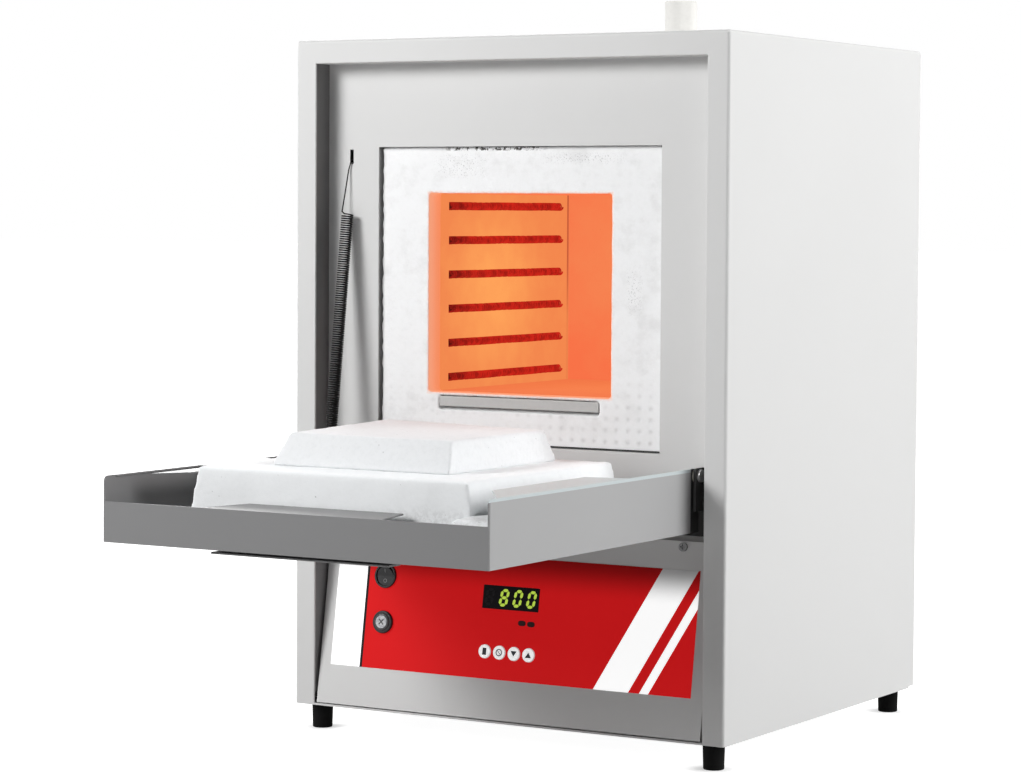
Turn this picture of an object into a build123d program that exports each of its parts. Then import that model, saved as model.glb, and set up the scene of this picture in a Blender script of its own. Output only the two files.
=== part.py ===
from build123d import *
import os
from math import atan2, cos, dist, pi, radians, sin, sqrt, tan

# Bench-top box furnace with a drop-down door, in millimetres.
# It is modelled with its door open and level, which is the rest pose.
# Working axes: X to the right, Y from the case front to the rear, Z up from the underside of the base.
# At the end every piece is moved so that the origin is the middle of the footprint, at bench level.

# Sheet metal and fits
sheet = 1.2  # case, panels and door
base_sheet = 1.5
bend_radius = 2.5  # outside radius of the case's folds
edge_round = 0.9  # rounding of the front frame's inner edges
panel_play = 0.3  # loose fit of a cover or panel inside the case
touch_gap = 0.3  # between pieces that move past each other
pin_play = 0.05  # radial clearance of pins, screws and bushes
overrun = 1.0  # how far a cutting body runs past the face it cuts
place_tolerance = 0.01  # for finding an edge by its place

# Case
case_width = 407.0
case_depth = 370.0
case_height = 560.0
stile_width = 19.5  # front frame, at the sides and the top
recess_depth = 20.0  # from the case front to the face of the front panel
rear_recess = 10.0  # from the case's rear edge to the face of the rear cover
rear_lip = 14.0  # width of the case's inward lips behind

# Feet
foot_height = 21.0
foot_top_diameter = 18.0
foot_tip_diameter = 16.8
foot_tip_round = 1.0
foot_inset_x = 17.0
foot_inset_y = 16.5
foot_stud_diameter = 5.0
foot_stud_depth = 10.0  # inside the rubber
foot_stud_reach = 9.0  # above the base's underside
foot_nut_width = 8.0
foot_nut_height = 4.0

# Chamber and its insulation
mouth_width = 172.6
mouth_rise = 57.0  # from the hinge axis to the mouth's lower edge
roof_space = 127.7  # from the mouth's upper edge to the case's top
side_wall = 46.2
roof_wall = 37.2
floor_wall = 40.5
ring_thickness = 19.0
ring_setback = 4.0  # from the front panel's face to the ring's face
ring_corner = 4.0
rear_wall = 79.0
rear_space = 23.0  # from the rear insulation to the rear cover's face
panel_gap = 1.5  # dark line between the ring and the front panel's opening
casing_sheet = 0.8
casing_gap = 2.0  # between the insulation and its casing
hearth_thickness = 8.0
hearth_gap = 0.8
hearth_round = 1.0

# Sill bar, let into the ring under the mouth
sill_width = 151.0
sill_height = 8.5
sill_depth = 14.0
sill_drop = 3.5  # from the mouth's lower edge to the bar's top
sill_setback = 0.4
sill_shadow = 2.4  # open slot under the front of the bar
sill_shadow_depth = 6.0
sill_round = 0.8

# Heating elements, in grooves of the side walls
element_rows = 6
element_edge = 10.3  # from the mouth's edges to the outer rows
groove_height = 7.0
groove_depth = 7.5
groove_start = 12.0  # behind the ring
groove_end = 11.0  # before the rear wall
element_diameter = 5.5
element_setback = 0.85  # from the wall's face to the element
link_diameter = 3.0
link_play = 0.3
tail_reach = 9.0  # outside the casing
bushing_diameter = 8.0
bushing_flange_diameter = 12.0
bushing_flange = 1.6
bushing_length = 7.0  # outside the casing

# Chimney
chimney_diameter = 28.6
chimney_seat_diameter = 27.6  # below the collar's top
chimney_step = 0.5  # above the collar
chimney_bore = 18.0
chimney_rise = 45.4  # above the case
chimney_inset = 64.0  # from the case's rear edge to the chimney's axis
chimney_play = 0.3
flue_drop = 32.3  # from the chamber's roof to the flue's axis
flue_diameter = 16.0
flue_well_diameter = 20.0
flue_well_drop = 20.0  # below the flue's axis
chimney_seat_depth = 24.5  # of the tube in the rear insulation
collar_diameter = 54.0
collar_thickness = 1.5
chimney_round = 1.0
case_chimney_gap = 2.4  # between the chimney and the case's hole, under the collar

# Thermocouple
probe_x = 40.0
probe_drop = 37.3  # from the chamber's roof to the probe's axis
probe_diameter = 6.0
probe_reach = 20.0  # inside the chamber
probe_head = 24.0
probe_head_depth = 14.0
probe_tail = 5.0
probe_head_round = 2.0

# Door
hinge_y = 12.0
hinge_height = 211.0
door_side_gap = 13.3  # between the front frame's opening and the door
door_top_gap = 15.5  # with the door closed
door_face_drop = 45.0  # from the hinge axis to the door's outer face
door_panel_gap = 2.6  # between the door's flanges and the front panel, closed
door_rim_height = 31.0
door_tail = 5.0  # flanges behind the hinge axis
door_face_tail = 6.0  # outer face, in front of the hinge axis
door_corner = 4.5
return_front_half = 80.0
return_tip_half = 69.0
return_front_depth = 47.0
return_width = 35.0
return_start = 12.0  # from the door's far edge, at the flange
return_slant = 50.0
return_end = 107.0  # from the hinge axis, at the flange
return_end_slant = 9.0
slab_seal_gap = 0.4  # between the slab and the ring, closed
slab_half_width = 118.8
slab_side_flare = 10.2
slab_end_flare = 6.1
slab_low_margin = 25.4  # closed: from the ring's lower edge to the slab
slab_high_margin = 0.0
slab_round = 3.0
plug_height = 23.2
plug_gap_side = 7.8
plug_gap_low = 1.0
plug_gap_high = 1.9
plug_taper_side = 5.1
plug_taper_end = 11.3
plug_round = 2.5

# Handle strip near the door's far edge
handle_width = 158.0
handle_sheet = 1.5
handle_leaf = 15.0
handle_grip = 14.0
handle_gap = 3.0
handle_inset = 12.0

# Hinges
hinge_pin_diameter = 6.0
pin_head_diameter = 10.0
pin_head = 2.0
clip_diameter = 11.0
clip_thickness = 1.0
bush_diameter = 9.0
bush_collar_diameter = 12.0
bush_collar = 1.5
bush_inner = 1.0  # inside the door's flange
bracket_sheet = 2.0
bracket_gap = 0.2  # between the bush and the bracket
bracket_front = 7.0  # in front of the hinge axis
bracket_back = 18.0  # behind it, under the front panel
bracket_rise = 6.0
bracket_drop = 28.0
bracket_leaf_rise = 2.0  # lower edge of the leaf, above the panel's edge
stop_diameter = 6.0
stop_drop = 21.0
stop_head_diameter = 9.0
bracket_screw_rise = (5.5, 15.5)
bracket_screw_diameter = 3.0
bracket_screw_head = 5.6

# Balance spring
spring_inset = 8.5  # from the inside of the door's flange to the spring's axis
spring_diameter = 10.0
spring_wire = 1.5
spring_turns = 96
spring_coil_drop = 41.0  # from the hook slot to the coil's upper end
spring_coil_rise = 17.0  # from the anchor to the coil's lower end
gap_samples = 6  # points on each edge of the wire, for measuring its gap to itself
hook_slot_rise = 246.0  # above the hinge axis
hook_slot_height = 12.0
hook_slot_width = 3.6
hook_radius = 3.0
hook_lead = 2.6
hook_tail = 5.0
hook_bend = 0.96  # bend radius of the hook, as a share of its half width
lead_bend = 0.8  # bend radius where the wire leaves the coil, as a share of its lead
anchor_ahead = 29.0  # of the hinge axis
anchor_drop = 32.0
anchor_diameter = 4.4
anchor_head_diameter = 8.0
anchor_head = 1.5
anchor_reach = 6.5  # past the spring's axis
spring_slot_play = 3.0

# Front panel and deck
panel_drop = 15.0  # from the hinge axis to the panel's lower edge
panel_fold = 12.0
baffle_y = 64.0
deck_flange = 20.0

# Fascia
fascia_bottom = 2.5
fascia_top = 157.0
fascia_foot = 0.8  # behind the case front, at its lower edge
fascia_lean = 8.87
fascia_gap = 2.0
fascia_sheet = 1.5
fascia_fold = 12.0
fascia_fold_top = 130.0
fascia_bottom_fold_end = 13.5
fascia_tab = 36.0
fascia_tab_height = 13.0
label_margin = 11.0
label_low = 32.9
label_high = 133.5
label_film = 0.3
screw_margin = 27.7
screw_v = 151.6
screw_diameter = 4.0
screw_head_diameter = 7.2
screw_head = 2.2
screw_cross = 4.0
screw_cross_width = 1.0
screw_cross_depth = 1.2
screw_tail = 4.0

# Display and lamps on the fascia, as x and height along its slope
display_x = -0.3
display_v = 100.1
display_width = 53.3
display_height = 19.2
display_proud = 0.2
window_play = 0.1
lamp_leds = ((12.0, 80.5), (20.4, 80.5))
led_diameter = 3.0
led_length = 9.0
rocker_x = -123.4
rocker_v = 110.6
rocker_diameter = 20.8
rocker_proud = 2.0
rocker_barrel_diameter = 19.2
rocker_barrel_length = 18.0
rocker_well_diameter = 17.4
rocker_well_depth = 6.0
rocker_cap_diameter = 15.8
rocker_cap_base = 2.5
rocker_cap_edge = 2.4
rocker_cap_dip = 1.2
rocker_pivot_depth = 1.0
rocker_axle_diameter = 2.0
rocker_tilt = 9.0
rocker_tabs = (-5.0, 0.0, 5.0)
rocker_tab_length = 7.0
rocker_tab_height = 6.0
rocker_tab_sheet = 0.8
rocker_round = 0.6
lamp_x = -122.0
lamp_v = 71.9
lamp_diameter = 19.0
lamp_proud = 2.5
lamp_barrel_diameter = 16.0
lamp_barrel_length = 20.0
lamp_lens_diameter = 14.4
lamp_lens_depth = 4.0
lamp_dome = 1.2
lamp_round = 1.0

# Buttons
button_first_x = -20.8
button_pitch = 13.9
button_v = 55.2
button_diameter = 11.4
button_play = 0.15
button_proud = 1.1
button_collar_diameter = 13.2
button_collar = 1.9
button_collar_gap = 0.1
button_stem_diameter = 3.0
button_stem_end = 8.0
button_travel = 0.8
button_round = 0.3
button_names = ("button_page", "button_timer", "button_down", "button_up")

# Controller
board_half_width = 60.0
board_low = 38.0
board_high = 126.0
board_depth = 14.0  # from the fascia's face to the board
board_thickness = 1.6
pillar_diameter = 6.0
pillar_inset = 5.0
module_width = 50.0
module_height = 17.0
switch_body = 6.0
switch_body_height = 3.5
switch_plunger_diameter = 3.4
board_parts = (  # x, height along the slope, width, height, depth behind the board
    (-35.0, 105.0, 28.0, 24.0, 14.0),
    (15.0, 100.0, 20.0, 20.0, 10.0),
    (35.0, 60.0, 16.0, 30.0, 9.0),
)

# Rear cover and mains inlet
vent_length = 50.0
vent_height = 4.0
vent_pitch = 9.0
vent_rows = 6
vent_columns = (-60.0, 60.0)
vent_low = 60.0
vent_high = 490.0
rear_screw_rows = 4
rear_screw_inset = 25.0
rear_screw_diameter = 3.5
rear_screw_head = 6.5
inlet_x = -140.0
inlet_height = 62.0
inlet_flange_width = 50.0
inlet_flange_height = 33.0
inlet_flange = 3.0
inlet_body_width = 35.0
inlet_body_height = 27.0
inlet_body_depth = 23.0
inlet_play = 0.2
inlet_round = 4.0
socket_width = 30.0
socket_height = 22.0
socket_depth = 18.0
blade_width = 2.0
blade_height = 8.0
blade_reach = 15.0
blade_root = 4.0
blade_spacing = 13.0
blade_offset = 4.0

# Power parts on the base
relay_x = 95.0
relay_y = 210.0
heatsink_width = 80.0
heatsink_depth = 70.0
heatsink_plate = 6.0
heatsink_fin_height = 20.0
heatsink_fin = 2.0
heatsink_fins = 9
relay_width = 45.0
relay_depth = 58.0
relay_height = 24.0
contactor_x = 0.0
contactor_y = 260.0
contactor_width = 45.0
contactor_depth = 60.0
contactor_height = 57.0
contactor_step = 14.0
terminal_x = -85.0
terminal_y = 235.0
terminal_width = 80.0
terminal_depth = 20.0
terminal_height = 22.0
terminal_ways = 8
terminal_groove = 2.0
loom_diameter = 6.0
loom_bend = 18.0
loom_height = 10.0  # of the wires that reach the terminal block
mains_run = 45.0  # straight back from the inlet
mains_drop_y = 40.0  # behind the terminal block
mains_offset = 20.0  # from the terminal block's middle, to the left
load_offset = 25.0  # from the terminal block's middle, to the right
load_run_y = 75.0  # in front of the relay's middle
load_relay_offset = 12.0

# Door sensor
sensor_height = 480.0
sensor_width = 14.0
sensor_length = 30.0
sensor_depth = 8.0
magnet_depth = 6.0
magnet_length = 24.0
magnet_height = 12.0
magnet_round = 1.0

# Places that follow from the sizes above
half_width = case_width / 2
inner_half = half_width - sheet
open_half = half_width - stile_width
open_top = case_height - stile_width
panel_back = recess_depth + sheet
cover_face = case_depth - rear_recess
cover_front = cover_face - sheet
ring_front = recess_depth + ring_setback
ring_back = ring_front + ring_thickness
block_back = cover_face - rear_space
chamber_back = block_back - rear_wall
chimney_y = case_depth - chimney_inset
hook_slot_bottom = hinge_height + hook_slot_rise
panel_bottom = hinge_height - panel_drop
mouth_half = mouth_width / 2
mouth_bottom = hinge_height + mouth_rise
mouth_top = case_height - roof_space
block_half = mouth_half + side_wall
block_bottom = mouth_bottom - floor_wall
block_top = mouth_top + roof_wall
flue_height = mouth_top - flue_drop
probe_height = mouth_top - probe_drop
casing_half = block_half + casing_gap
casing_top = block_top + casing_gap
casing_back = block_back + casing_gap / 4
deck_back = cover_front - 3 * sheet
door_half = open_half - door_side_gap
door_inner = door_half - sheet


def open_y(height):
    """Place along Y, with the door open, of what is at this height when it is closed."""
    return hinge_y - (height - hinge_height)


def open_z(y):
    """Height, with the door open, of what is at this y when it is closed."""
    return hinge_height + (y - hinge_y)


door_front = open_y(open_top - door_top_gap)
door_face = hinge_height - door_face_drop
door_flange_top = open_z(recess_depth - door_panel_gap)
slab_top = open_z(ring_front - slab_seal_gap)
slab_near = open_y(block_bottom + slab_low_margin)
slab_far = open_y(block_top - slab_high_margin)
plug_near = open_y(mouth_bottom + plug_gap_low)
plug_far = open_y(mouth_top - plug_gap_high)
plug_half = mouth_half - plug_gap_side
anchor_y = hinge_y - anchor_ahead
anchor_z = hinge_height - anchor_drop
spring_x = door_inner - spring_inset
spring_coil_top = hook_slot_bottom - spring_coil_drop
spring_coil_bottom = anchor_z + spring_coil_rise
sensor_x = door_inner - magnet_depth / 2
bush_face = door_half + bush_collar
bracket_inner = bush_face + bracket_gap
bracket_outer = bracket_inner + bracket_sheet
bracket_screw_x = (bracket_outer + pin_head + open_half) / 2
stop_y = hinge_y + door_tail + touch_gap + stop_diameter / 2
stop_z = hinge_height - stop_drop

fascia_slope = tan(radians(fascia_lean))
fascia_length = (fascia_top - fascia_bottom) / cos(radians(fascia_lean))
fascia_half = open_half - fascia_gap
label_half_width = fascia_half - label_margin
screw_x = fascia_half - screw_margin
fascia = Plane(
    origin=(0, fascia_foot, fascia_bottom),
    x_dir=(1, 0, 0),
    z_dir=(0, -cos(radians(fascia_lean)), sin(radians(fascia_lean))),
)

foot_places = [
    (side * (half_width - foot_inset_x), y)
    for side in (-1, 1)
    for y in (foot_inset_y, case_depth - foot_inset_y)
]
rear_screw_pitch = (case_height - 2 * rear_screw_inset) / (rear_screw_rows - 1)
rear_screw_places = [
    (side * (inner_half - rear_lip / 2), rear_screw_inset + row * rear_screw_pitch)
    for side in (-1, 1)
    for row in range(rear_screw_rows)
]
button_places = [button_first_x + i * button_pitch for i in range(len(button_names))]
row_pitch = (mouth_top - mouth_bottom - 2 * element_edge) / (element_rows - 1)
row_heights = [mouth_bottom + element_edge + i * row_pitch for i in range(element_rows)]


# Building blocks

def block(x, y, z):
    """Box between two values on each axis."""
    size = (x[1] - x[0], y[1] - y[0], z[1] - z[0])
    return Pos((x[0] + x[1]) / 2, (y[0] + y[1]) / 2, (z[0] + z[1]) / 2) * Box(*size)


def both(solid):
    """A solid of the right side and its mirror image on the left."""
    return [solid, mirror(solid, about=Plane.YZ)]


def side_block(side, x, y, z):
    """Box given for the right side (side 1), or mirrored to the left (side -1)."""
    low, high = sorted((side * x[0], side * x[1]))
    return block((low, high), y, z)


def rod_x(x, y, z, diameter):
    """Round bar along X, between two values of x."""
    return Pos((x[0] + x[1]) / 2, y, z) * Rot(0, 90, 0) * Cylinder(diameter / 2, abs(x[1] - x[0]))


def rod_y(x, y, z, diameter):
    """Round bar along Y, between two values of y."""
    return Pos(x, (y[0] + y[1]) / 2, z) * Rot(90, 0, 0) * Cylinder(diameter / 2, abs(y[1] - y[0]))


def rod_z(x, y, z, diameter):
    """Round bar along Z, between two values of z."""
    return Pos(x, y, (z[0] + z[1]) / 2) * Cylinder(diameter / 2, abs(z[1] - z[0]))


def on_fascia(x, v, n):
    """Box on the fascia's sloped plane: x, height along the slope, distance in front of it."""
    return fascia * block(x, v, n)


def fascia_rod(x, v, n, diameter):
    """Round bar square to the fascia's plane, between two distances in front of it."""
    return fascia * rod_z(x, v, n, diameter)


def front_y(z):
    """Y of the fascia's front face at a height."""
    return fascia_foot + (z - fascia_bottom) * fascia_slope


def frustum(low_x, low_y, low_z, high_x, high_y, high_z):
    """Block whose sides lean: a rectangle at the bottom and another at the top."""
    sections = []
    for x, y, z in ((low_x, low_y, low_z), (high_x, high_y, high_z)):
        middle = Pos((x[0] + x[1]) / 2, (y[0] + y[1]) / 2, z)
        sections.append(middle * Rectangle(x[1] - x[0], y[1] - y[0]))
    return loft(sections)


def prism_x(points, x):
    """Outline in Y and Z, extruded between two values of x."""
    face = make_face(Plane.YZ * Polyline(*points, close=True))
    return Pos(x[0], 0, 0) * extrude(face, amount=x[1] - x[0], dir=(1, 0, 0))


def prism_z(points, z):
    """Outline in X and Y, extruded between two values of z."""
    face = make_face(Polyline(*points, close=True))
    return Pos(0, 0, z[0]) * extrude(face, amount=z[1] - z[0], dir=(0, 0, 1))


def edges_at(solid, along, **places):
    """Edges along one axis that lie at the given places on the others."""
    found = solid.edges().filter_by(along)
    for axis_name, value in places.items():
        axis = {"x": Axis.X, "y": Axis.Y, "z": Axis.Z}[axis_name]
        found = found.filter_by_position(axis, value - place_tolerance, value + place_tolerance)
    return found


def rounded(solid, radius, *groups):
    """The solid with the edges of each group rounded."""
    edges = [edge for group in groups for edge in group]
    return fillet(edges, radius)


# Case

def outer_case():
    outer = block((-half_width, half_width), (0, case_depth), (base_sheet, case_height))
    inner = block((-inner_half, inner_half), (sheet, case_depth + sheet), (0, case_height - sheet))
    outer = rounded(
        outer,
        bend_radius,
        edges_at(outer, Axis.Z, y=0),
        edges_at(outer, Axis.X, y=0, z=case_height),
        edges_at(outer, Axis.Y, z=case_height),
    )
    inner = rounded(
        inner,
        bend_radius - sheet,
        edges_at(inner, Axis.Z, y=sheet),
        edges_at(inner, Axis.X, y=sheet, z=case_height - sheet),
        edges_at(inner, Axis.Y, z=case_height - sheet),
    )
    case = outer - inner
    case -= block((-open_half, open_half), (-sheet, 2 * sheet), (0, open_top))
    for side in (-1, 1):
        case += side_block(
            side,
            (open_half, open_half + sheet),
            (0, recess_depth),
            (foot_stud_reach + sheet, open_top),
        )
        case += side_block(
            side,
            (inner_half - rear_lip, inner_half),
            (cover_front - sheet, cover_front),
            (base_sheet, case_height - sheet),
        )
    case += block((-open_half - sheet, open_half + sheet), (0, recess_depth), (open_top, open_top + sheet))
    case = rounded(
        case,
        edge_round,
        edges_at(case, Axis.Z, y=0, x=open_half),
        edges_at(case, Axis.Z, y=0, x=-open_half),
        edges_at(case, Axis.X, y=0, z=open_top),
    )
    tab_v = (fascia_length - fascia_sheet - fascia_tab_height, fascia_length - fascia_sheet)
    tab_n = (-fascia_sheet - sheet, -fascia_sheet)
    for side in (-1, 1):
        low, high = sorted((side * (open_half + sheet - fascia_tab), side * (open_half + sheet)))
        tab = on_fascia((low, high), tab_v, tab_n)
        link_z = (fascia_top - fascia_tab_height - sheet, fascia_top - sheet)
        tab += side_block(
            side,
            (open_half, open_half + sheet),
            (recess_depth - sheet, front_y(fascia_top) + fascia_sheet + sheet),
            link_z,
        )
        case += tab
        case -= fascia_rod(side * screw_x, screw_v, (-4 * sheet, 0), screw_diameter + 2 * pin_play)
    case -= rod_z(0, chimney_y, (open_top, case_height + sheet), chimney_diameter + 2 * case_chimney_gap)
    for x, z in rear_screw_places:
        case -= rod_y(x, (cover_front - 2 * sheet, cover_face), z, rear_screw_diameter + 2 * pin_play)
    return case


def base_tray():
    tray = block((-half_width, half_width), (0, cover_face), (0, base_sheet))
    tray = rounded(tray, bend_radius, edges_at(tray, Axis.Z, y=0))
    flange_z = (base_sheet, base_sheet + deck_flange)
    for side in (-1, 1):
        tray += side_block(
            side,
            (inner_half - base_sheet, inner_half),
            (panel_back, deck_back),
            flange_z,
        )
    inside = half_width - foot_inset_x - foot_nut_width
    tray += block((-inside, inside), (cover_front - base_sheet, cover_front), flange_z)
    front = fascia_bottom_fold_end + panel_play
    tray += block((-inside, inside), (front, front + base_sheet), flange_z)
    for x, y in foot_places:
        tray -= rod_z(x, y, (-base_sheet, 2 * base_sheet), foot_stud_diameter + 2 * pin_play)
    return tray


def rear_cover():
    cover = case_panel((cover_front, cover_face), base_sheet)
    slot = Rot(90, 0, 0) * extrude(SlotOverall(vent_length, vent_height), amount=2 * sheet, both=True)
    for column in vent_columns:
        for start in (vent_low, vent_high):
            for row in range(vent_rows):
                cover -= Pos(column, cover_face, start + row * vent_pitch) * slot
    cutout = (inlet_body_width + 2 * inlet_play, inlet_body_height + 2 * inlet_play)
    cover -= inlet_box(*cutout, (cover_front - sheet, case_depth))
    for x, z in rear_screw_places:
        cover -= rod_y(x, (cover_front - sheet, cover_face + sheet), z, rear_screw_diameter + 2 * pin_play)
    return cover


def rear_screws():
    screws = []
    for x, z in rear_screw_places:
        screw = rod_y(x, (deck_back, cover_face), z, rear_screw_diameter)
        head = rod_y(x, (cover_face, cover_face + screw_head), z, rear_screw_head)
        slots = block(
            (x - screw_cross / 2, x + screw_cross / 2),
            (cover_face + screw_head - screw_cross_depth, cover_face + 2 * screw_head),
            (z - screw_cross_width / 2, z + screw_cross_width / 2),
        )
        slots += block(
            (x - screw_cross_width / 2, x + screw_cross_width / 2),
            (cover_face + screw_head - screw_cross_depth, cover_face + 2 * screw_head),
            (z - screw_cross / 2, z + screw_cross / 2),
        )
        screws.append(screw + head - slots)
    return screws


def case_panel(y, bottom):
    """Plate that fills the case from side to side, up to its top."""
    half = inner_half - panel_play
    top = case_height - sheet - panel_play
    plate = block((-half, half), y, (bottom, top))
    return rounded(plate, bend_radius - sheet, edges_at(plate, Axis.Y, z=top))


def front_panel():
    panel = case_panel((recess_depth, panel_back), panel_bottom)
    panel += block(
        (-door_half, door_half),
        (recess_depth, recess_depth + panel_fold),
        (panel_bottom, panel_bottom + sheet),
    )
    gap_half = block_half + panel_gap
    panel -= block(
        (-gap_half, gap_half),
        (recess_depth - sheet, panel_back + sheet),
        (block_bottom - panel_gap, block_top + panel_gap),
    )
    panel -= side_block(
        -1,
        (spring_x - hook_slot_width / 2, spring_x + hook_slot_width / 2),
        (recess_depth - sheet, panel_back + sheet),
        (hook_slot_bottom, hook_slot_bottom + hook_slot_height),
    )
    for side in (-1, 1):
        for rise in bracket_screw_rise:
            panel -= rod_y(
                side * bracket_screw_x,
                (recess_depth - sheet, panel_back + sheet),
                panel_bottom + rise,
                bracket_screw_diameter + 2 * pin_play,
            )
    return panel


def chamber_deck():
    half = inner_half - panel_play
    deck = block((-half, half), (panel_back, deck_back), (block_bottom - sheet, block_bottom))
    for side in (-1, 1):
        deck += side_block(
            side,
            (half - sheet, half),
            (panel_back, deck_back),
            (block_bottom - deck_flange, block_bottom),
        )
    deck += block((-half, half), (baffle_y, baffle_y + sheet), (fascia_top, block_bottom))
    return deck


def chamber_casing():
    out = casing_sheet
    shell = block(
        (-casing_half - out, casing_half + out),
        (panel_back, casing_back + out),
        (block_bottom, casing_top + out),
    )
    shell -= block((-casing_half, casing_half), (0, casing_back), (0, casing_top))
    shell -= rod_z(0, chimney_y, (block_top, casing_top + 2 * out), chimney_seat_diameter + 2 * chimney_play)
    probe_hole = probe_diameter + 2 * link_play
    shell -= rod_y(probe_x, (casing_back - out, casing_back + 2 * out), probe_height, probe_hole)
    for side in (-1, 1):
        for z in (row_heights[0], row_heights[-1]):
            hole = (side * (casing_half - out), side * (casing_half + 2 * out))
            shell -= rod_x(hole, tail_y(), z, bushing_diameter + 2 * pin_play)
    return shell


# Chamber insulation

def insulation_front():
    ring = block((-block_half, block_half), (ring_front, ring_back), (block_bottom, block_top))
    ring = rounded(ring, ring_corner, ring.edges().filter_by(Axis.Y))
    ring -= block((-mouth_half, mouth_half), (0, ring_back + sheet), (mouth_bottom, mouth_top))
    half = sill_width / 2 + link_play
    bar_top = mouth_bottom - sill_drop
    ring -= block(
        (-half, half),
        (0, ring_front + sill_setback + sill_depth + link_play),
        (bar_top - sill_height - link_play, bar_top + link_play),
    )
    ring -= block(
        (-half, half),
        (0, ring_front + sill_shadow_depth),
        (bar_top - sill_height - sill_shadow, bar_top + link_play),
    )
    return ring


def sill_bar():
    bar_top = mouth_bottom - sill_drop
    front = ring_front + sill_setback
    half = sill_width / 2
    bar = block((-half, half), (front, front + sill_depth), (bar_top - sill_height, bar_top))
    return rounded(bar, sill_round, edges_at(bar, Axis.X, y=front))


def element_y():
    """Front and rear ends of the element rows."""
    return ring_back + groove_start + link_diameter, chamber_back - groove_end - link_diameter


def tail_y():
    return element_y()[0] + link_diameter / 2


def element_x():
    return mouth_half + element_setback + element_diameter / 2


def element_solid(side, extra):
    """One wall's element: a rod in each groove, joined behind the wall's face, with two tails."""
    front, back = element_y()
    x = side * element_x()
    rows = [rod_y(x, (front, back), z, element_diameter + 2 * extra) for z in row_heights]
    solid = rows[0]
    for row in rows[1:]:
        solid += row
    for i in range(element_rows - 1):
        y = back - link_diameter if i % 2 == 0 else front + link_diameter
        solid += rod_z(x, y, (row_heights[i], row_heights[i + 1]), link_diameter + 2 * extra)
    tail = (x, side * (casing_half + casing_sheet + tail_reach))
    for z in (row_heights[0], row_heights[-1]):
        solid += rod_x(tail, tail_y(), z, link_diameter + 2 * extra)
    return solid


def insulation_side(side):
    wall = side_block(side, (mouth_half, block_half), (ring_back, chamber_back), (block_bottom, block_top))
    for z in row_heights:
        wall -= side_block(
            side,
            (mouth_half - overrun, mouth_half + groove_depth),
            (ring_back + groove_start, chamber_back - groove_end),
            (z - groove_height / 2, z + groove_height / 2),
        )
    return wall - element_solid(side, link_play)


def insulation_top():
    return block((-mouth_half, mouth_half), (ring_back, chamber_back), (mouth_top, block_top))


def insulation_bottom():
    top = mouth_bottom - hearth_thickness
    return block((-mouth_half, mouth_half), (ring_back, chamber_back), (block_bottom, top))


def hearth_plate():
    half = mouth_half - hearth_gap
    bottom = mouth_bottom - hearth_thickness
    plate = block((-half, half), (ring_back + hearth_gap, chamber_back - hearth_gap), (bottom, mouth_bottom))
    top_edges = [edges_at(plate, along, z=mouth_bottom) for along in (Axis.X, Axis.Y)]
    return rounded(plate, hearth_round, *top_edges)


def insulation_rear():
    wall = block((-block_half, block_half), (chamber_back, block_back), (block_bottom, block_top))
    wall -= rod_y(0, (chamber_back - overrun, chimney_y), flue_height, flue_diameter)
    wall -= rod_z(0, chimney_y, (flue_height - flue_well_drop, block_top), flue_well_diameter)
    seat = block_top - chimney_seat_depth
    wall -= rod_z(0, chimney_y, (seat, block_top + overrun), chimney_seat_diameter + 2 * chimney_play)
    probe_run = (chamber_back - overrun, block_back + overrun)
    wall -= rod_y(probe_x, probe_run, probe_height, probe_diameter + 2 * link_play)
    return wall


def chimney_tube():
    bottom = block_top - chimney_seat_depth
    step = case_height + collar_thickness + chimney_step
    top = case_height + chimney_rise
    tube = rod_z(0, chimney_y, (bottom, step), chimney_seat_diameter)
    tube += rod_z(0, chimney_y, (step, top), chimney_diameter)
    tube -= rod_z(0, chimney_y, (bottom, top), chimney_bore)
    return rounded(tube, chimney_round, tube.edges().filter_by(GeomType.CIRCLE).group_by(Axis.Z)[-1])


def chimney_collar():
    z = (case_height, case_height + collar_thickness)
    hole = chimney_seat_diameter + 2 * chimney_play
    return rod_z(0, chimney_y, z, collar_diameter) - rod_z(0, chimney_y, z, hole)


def element_bushings():
    wall = casing_half + casing_sheet
    y = tail_y()
    bushings = []
    for z in (row_heights[0], row_heights[-1]):
        body = rod_x((casing_half - casing_sheet, wall + bushing_length), y, z, bushing_diameter)
        body += rod_x((wall, wall + bushing_flange), y, z, bushing_flange_diameter)
        body -= rod_x((block_half, wall + 2 * bushing_length), y, z, link_diameter + 2 * pin_play)
        bushings += both(body)
    return bushings


def thermocouple_probe():
    start = chamber_back - probe_reach
    wall = casing_back + casing_sheet
    sheath = rod_y(probe_x, (start, wall + probe_head_depth + probe_tail), probe_height, probe_diameter)
    half = probe_head / 2
    head = block(
        (probe_x - half, probe_x + half),
        (wall, wall + probe_head_depth),
        (probe_height - half, probe_height + half),
    )
    head = rounded(head, probe_head_round, head.edges().filter_by(Axis.Y))
    hole = (wall - overrun, wall + probe_head_depth + overrun)
    head -= rod_y(probe_x, hole, probe_height, probe_diameter + 2 * pin_play)
    return [sheath, head]


# Feet

def rubber_feet():
    feet = []
    for x, y in foot_places:
        foot = Pos(x, y, -foot_height / 2) * Cone(foot_tip_diameter / 2, foot_top_diameter / 2, foot_height)
        foot = rounded(foot, foot_tip_round, foot.edges().group_by(Axis.Z)[0])
        feet.append(foot - rod_z(x, y, (-foot_stud_depth, overrun), foot_stud_diameter + 2 * pin_play))
    return feet


def foot_fasteners():
    solids = []
    for x, y in foot_places:
        solids.append(rod_z(x, y, (pin_play - foot_stud_depth, foot_stud_reach), foot_stud_diameter))
        radius = foot_nut_width / 2 / cos(pi / 6)
        nut = Pos(x, y, base_sheet) * extrude(RegularPolygon(radius, 6), amount=foot_nut_height)
        solids.append(nut - rod_z(x, y, (0, 2 * foot_stud_reach), foot_stud_diameter + 2 * pin_play))
    return solids


# Door

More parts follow.
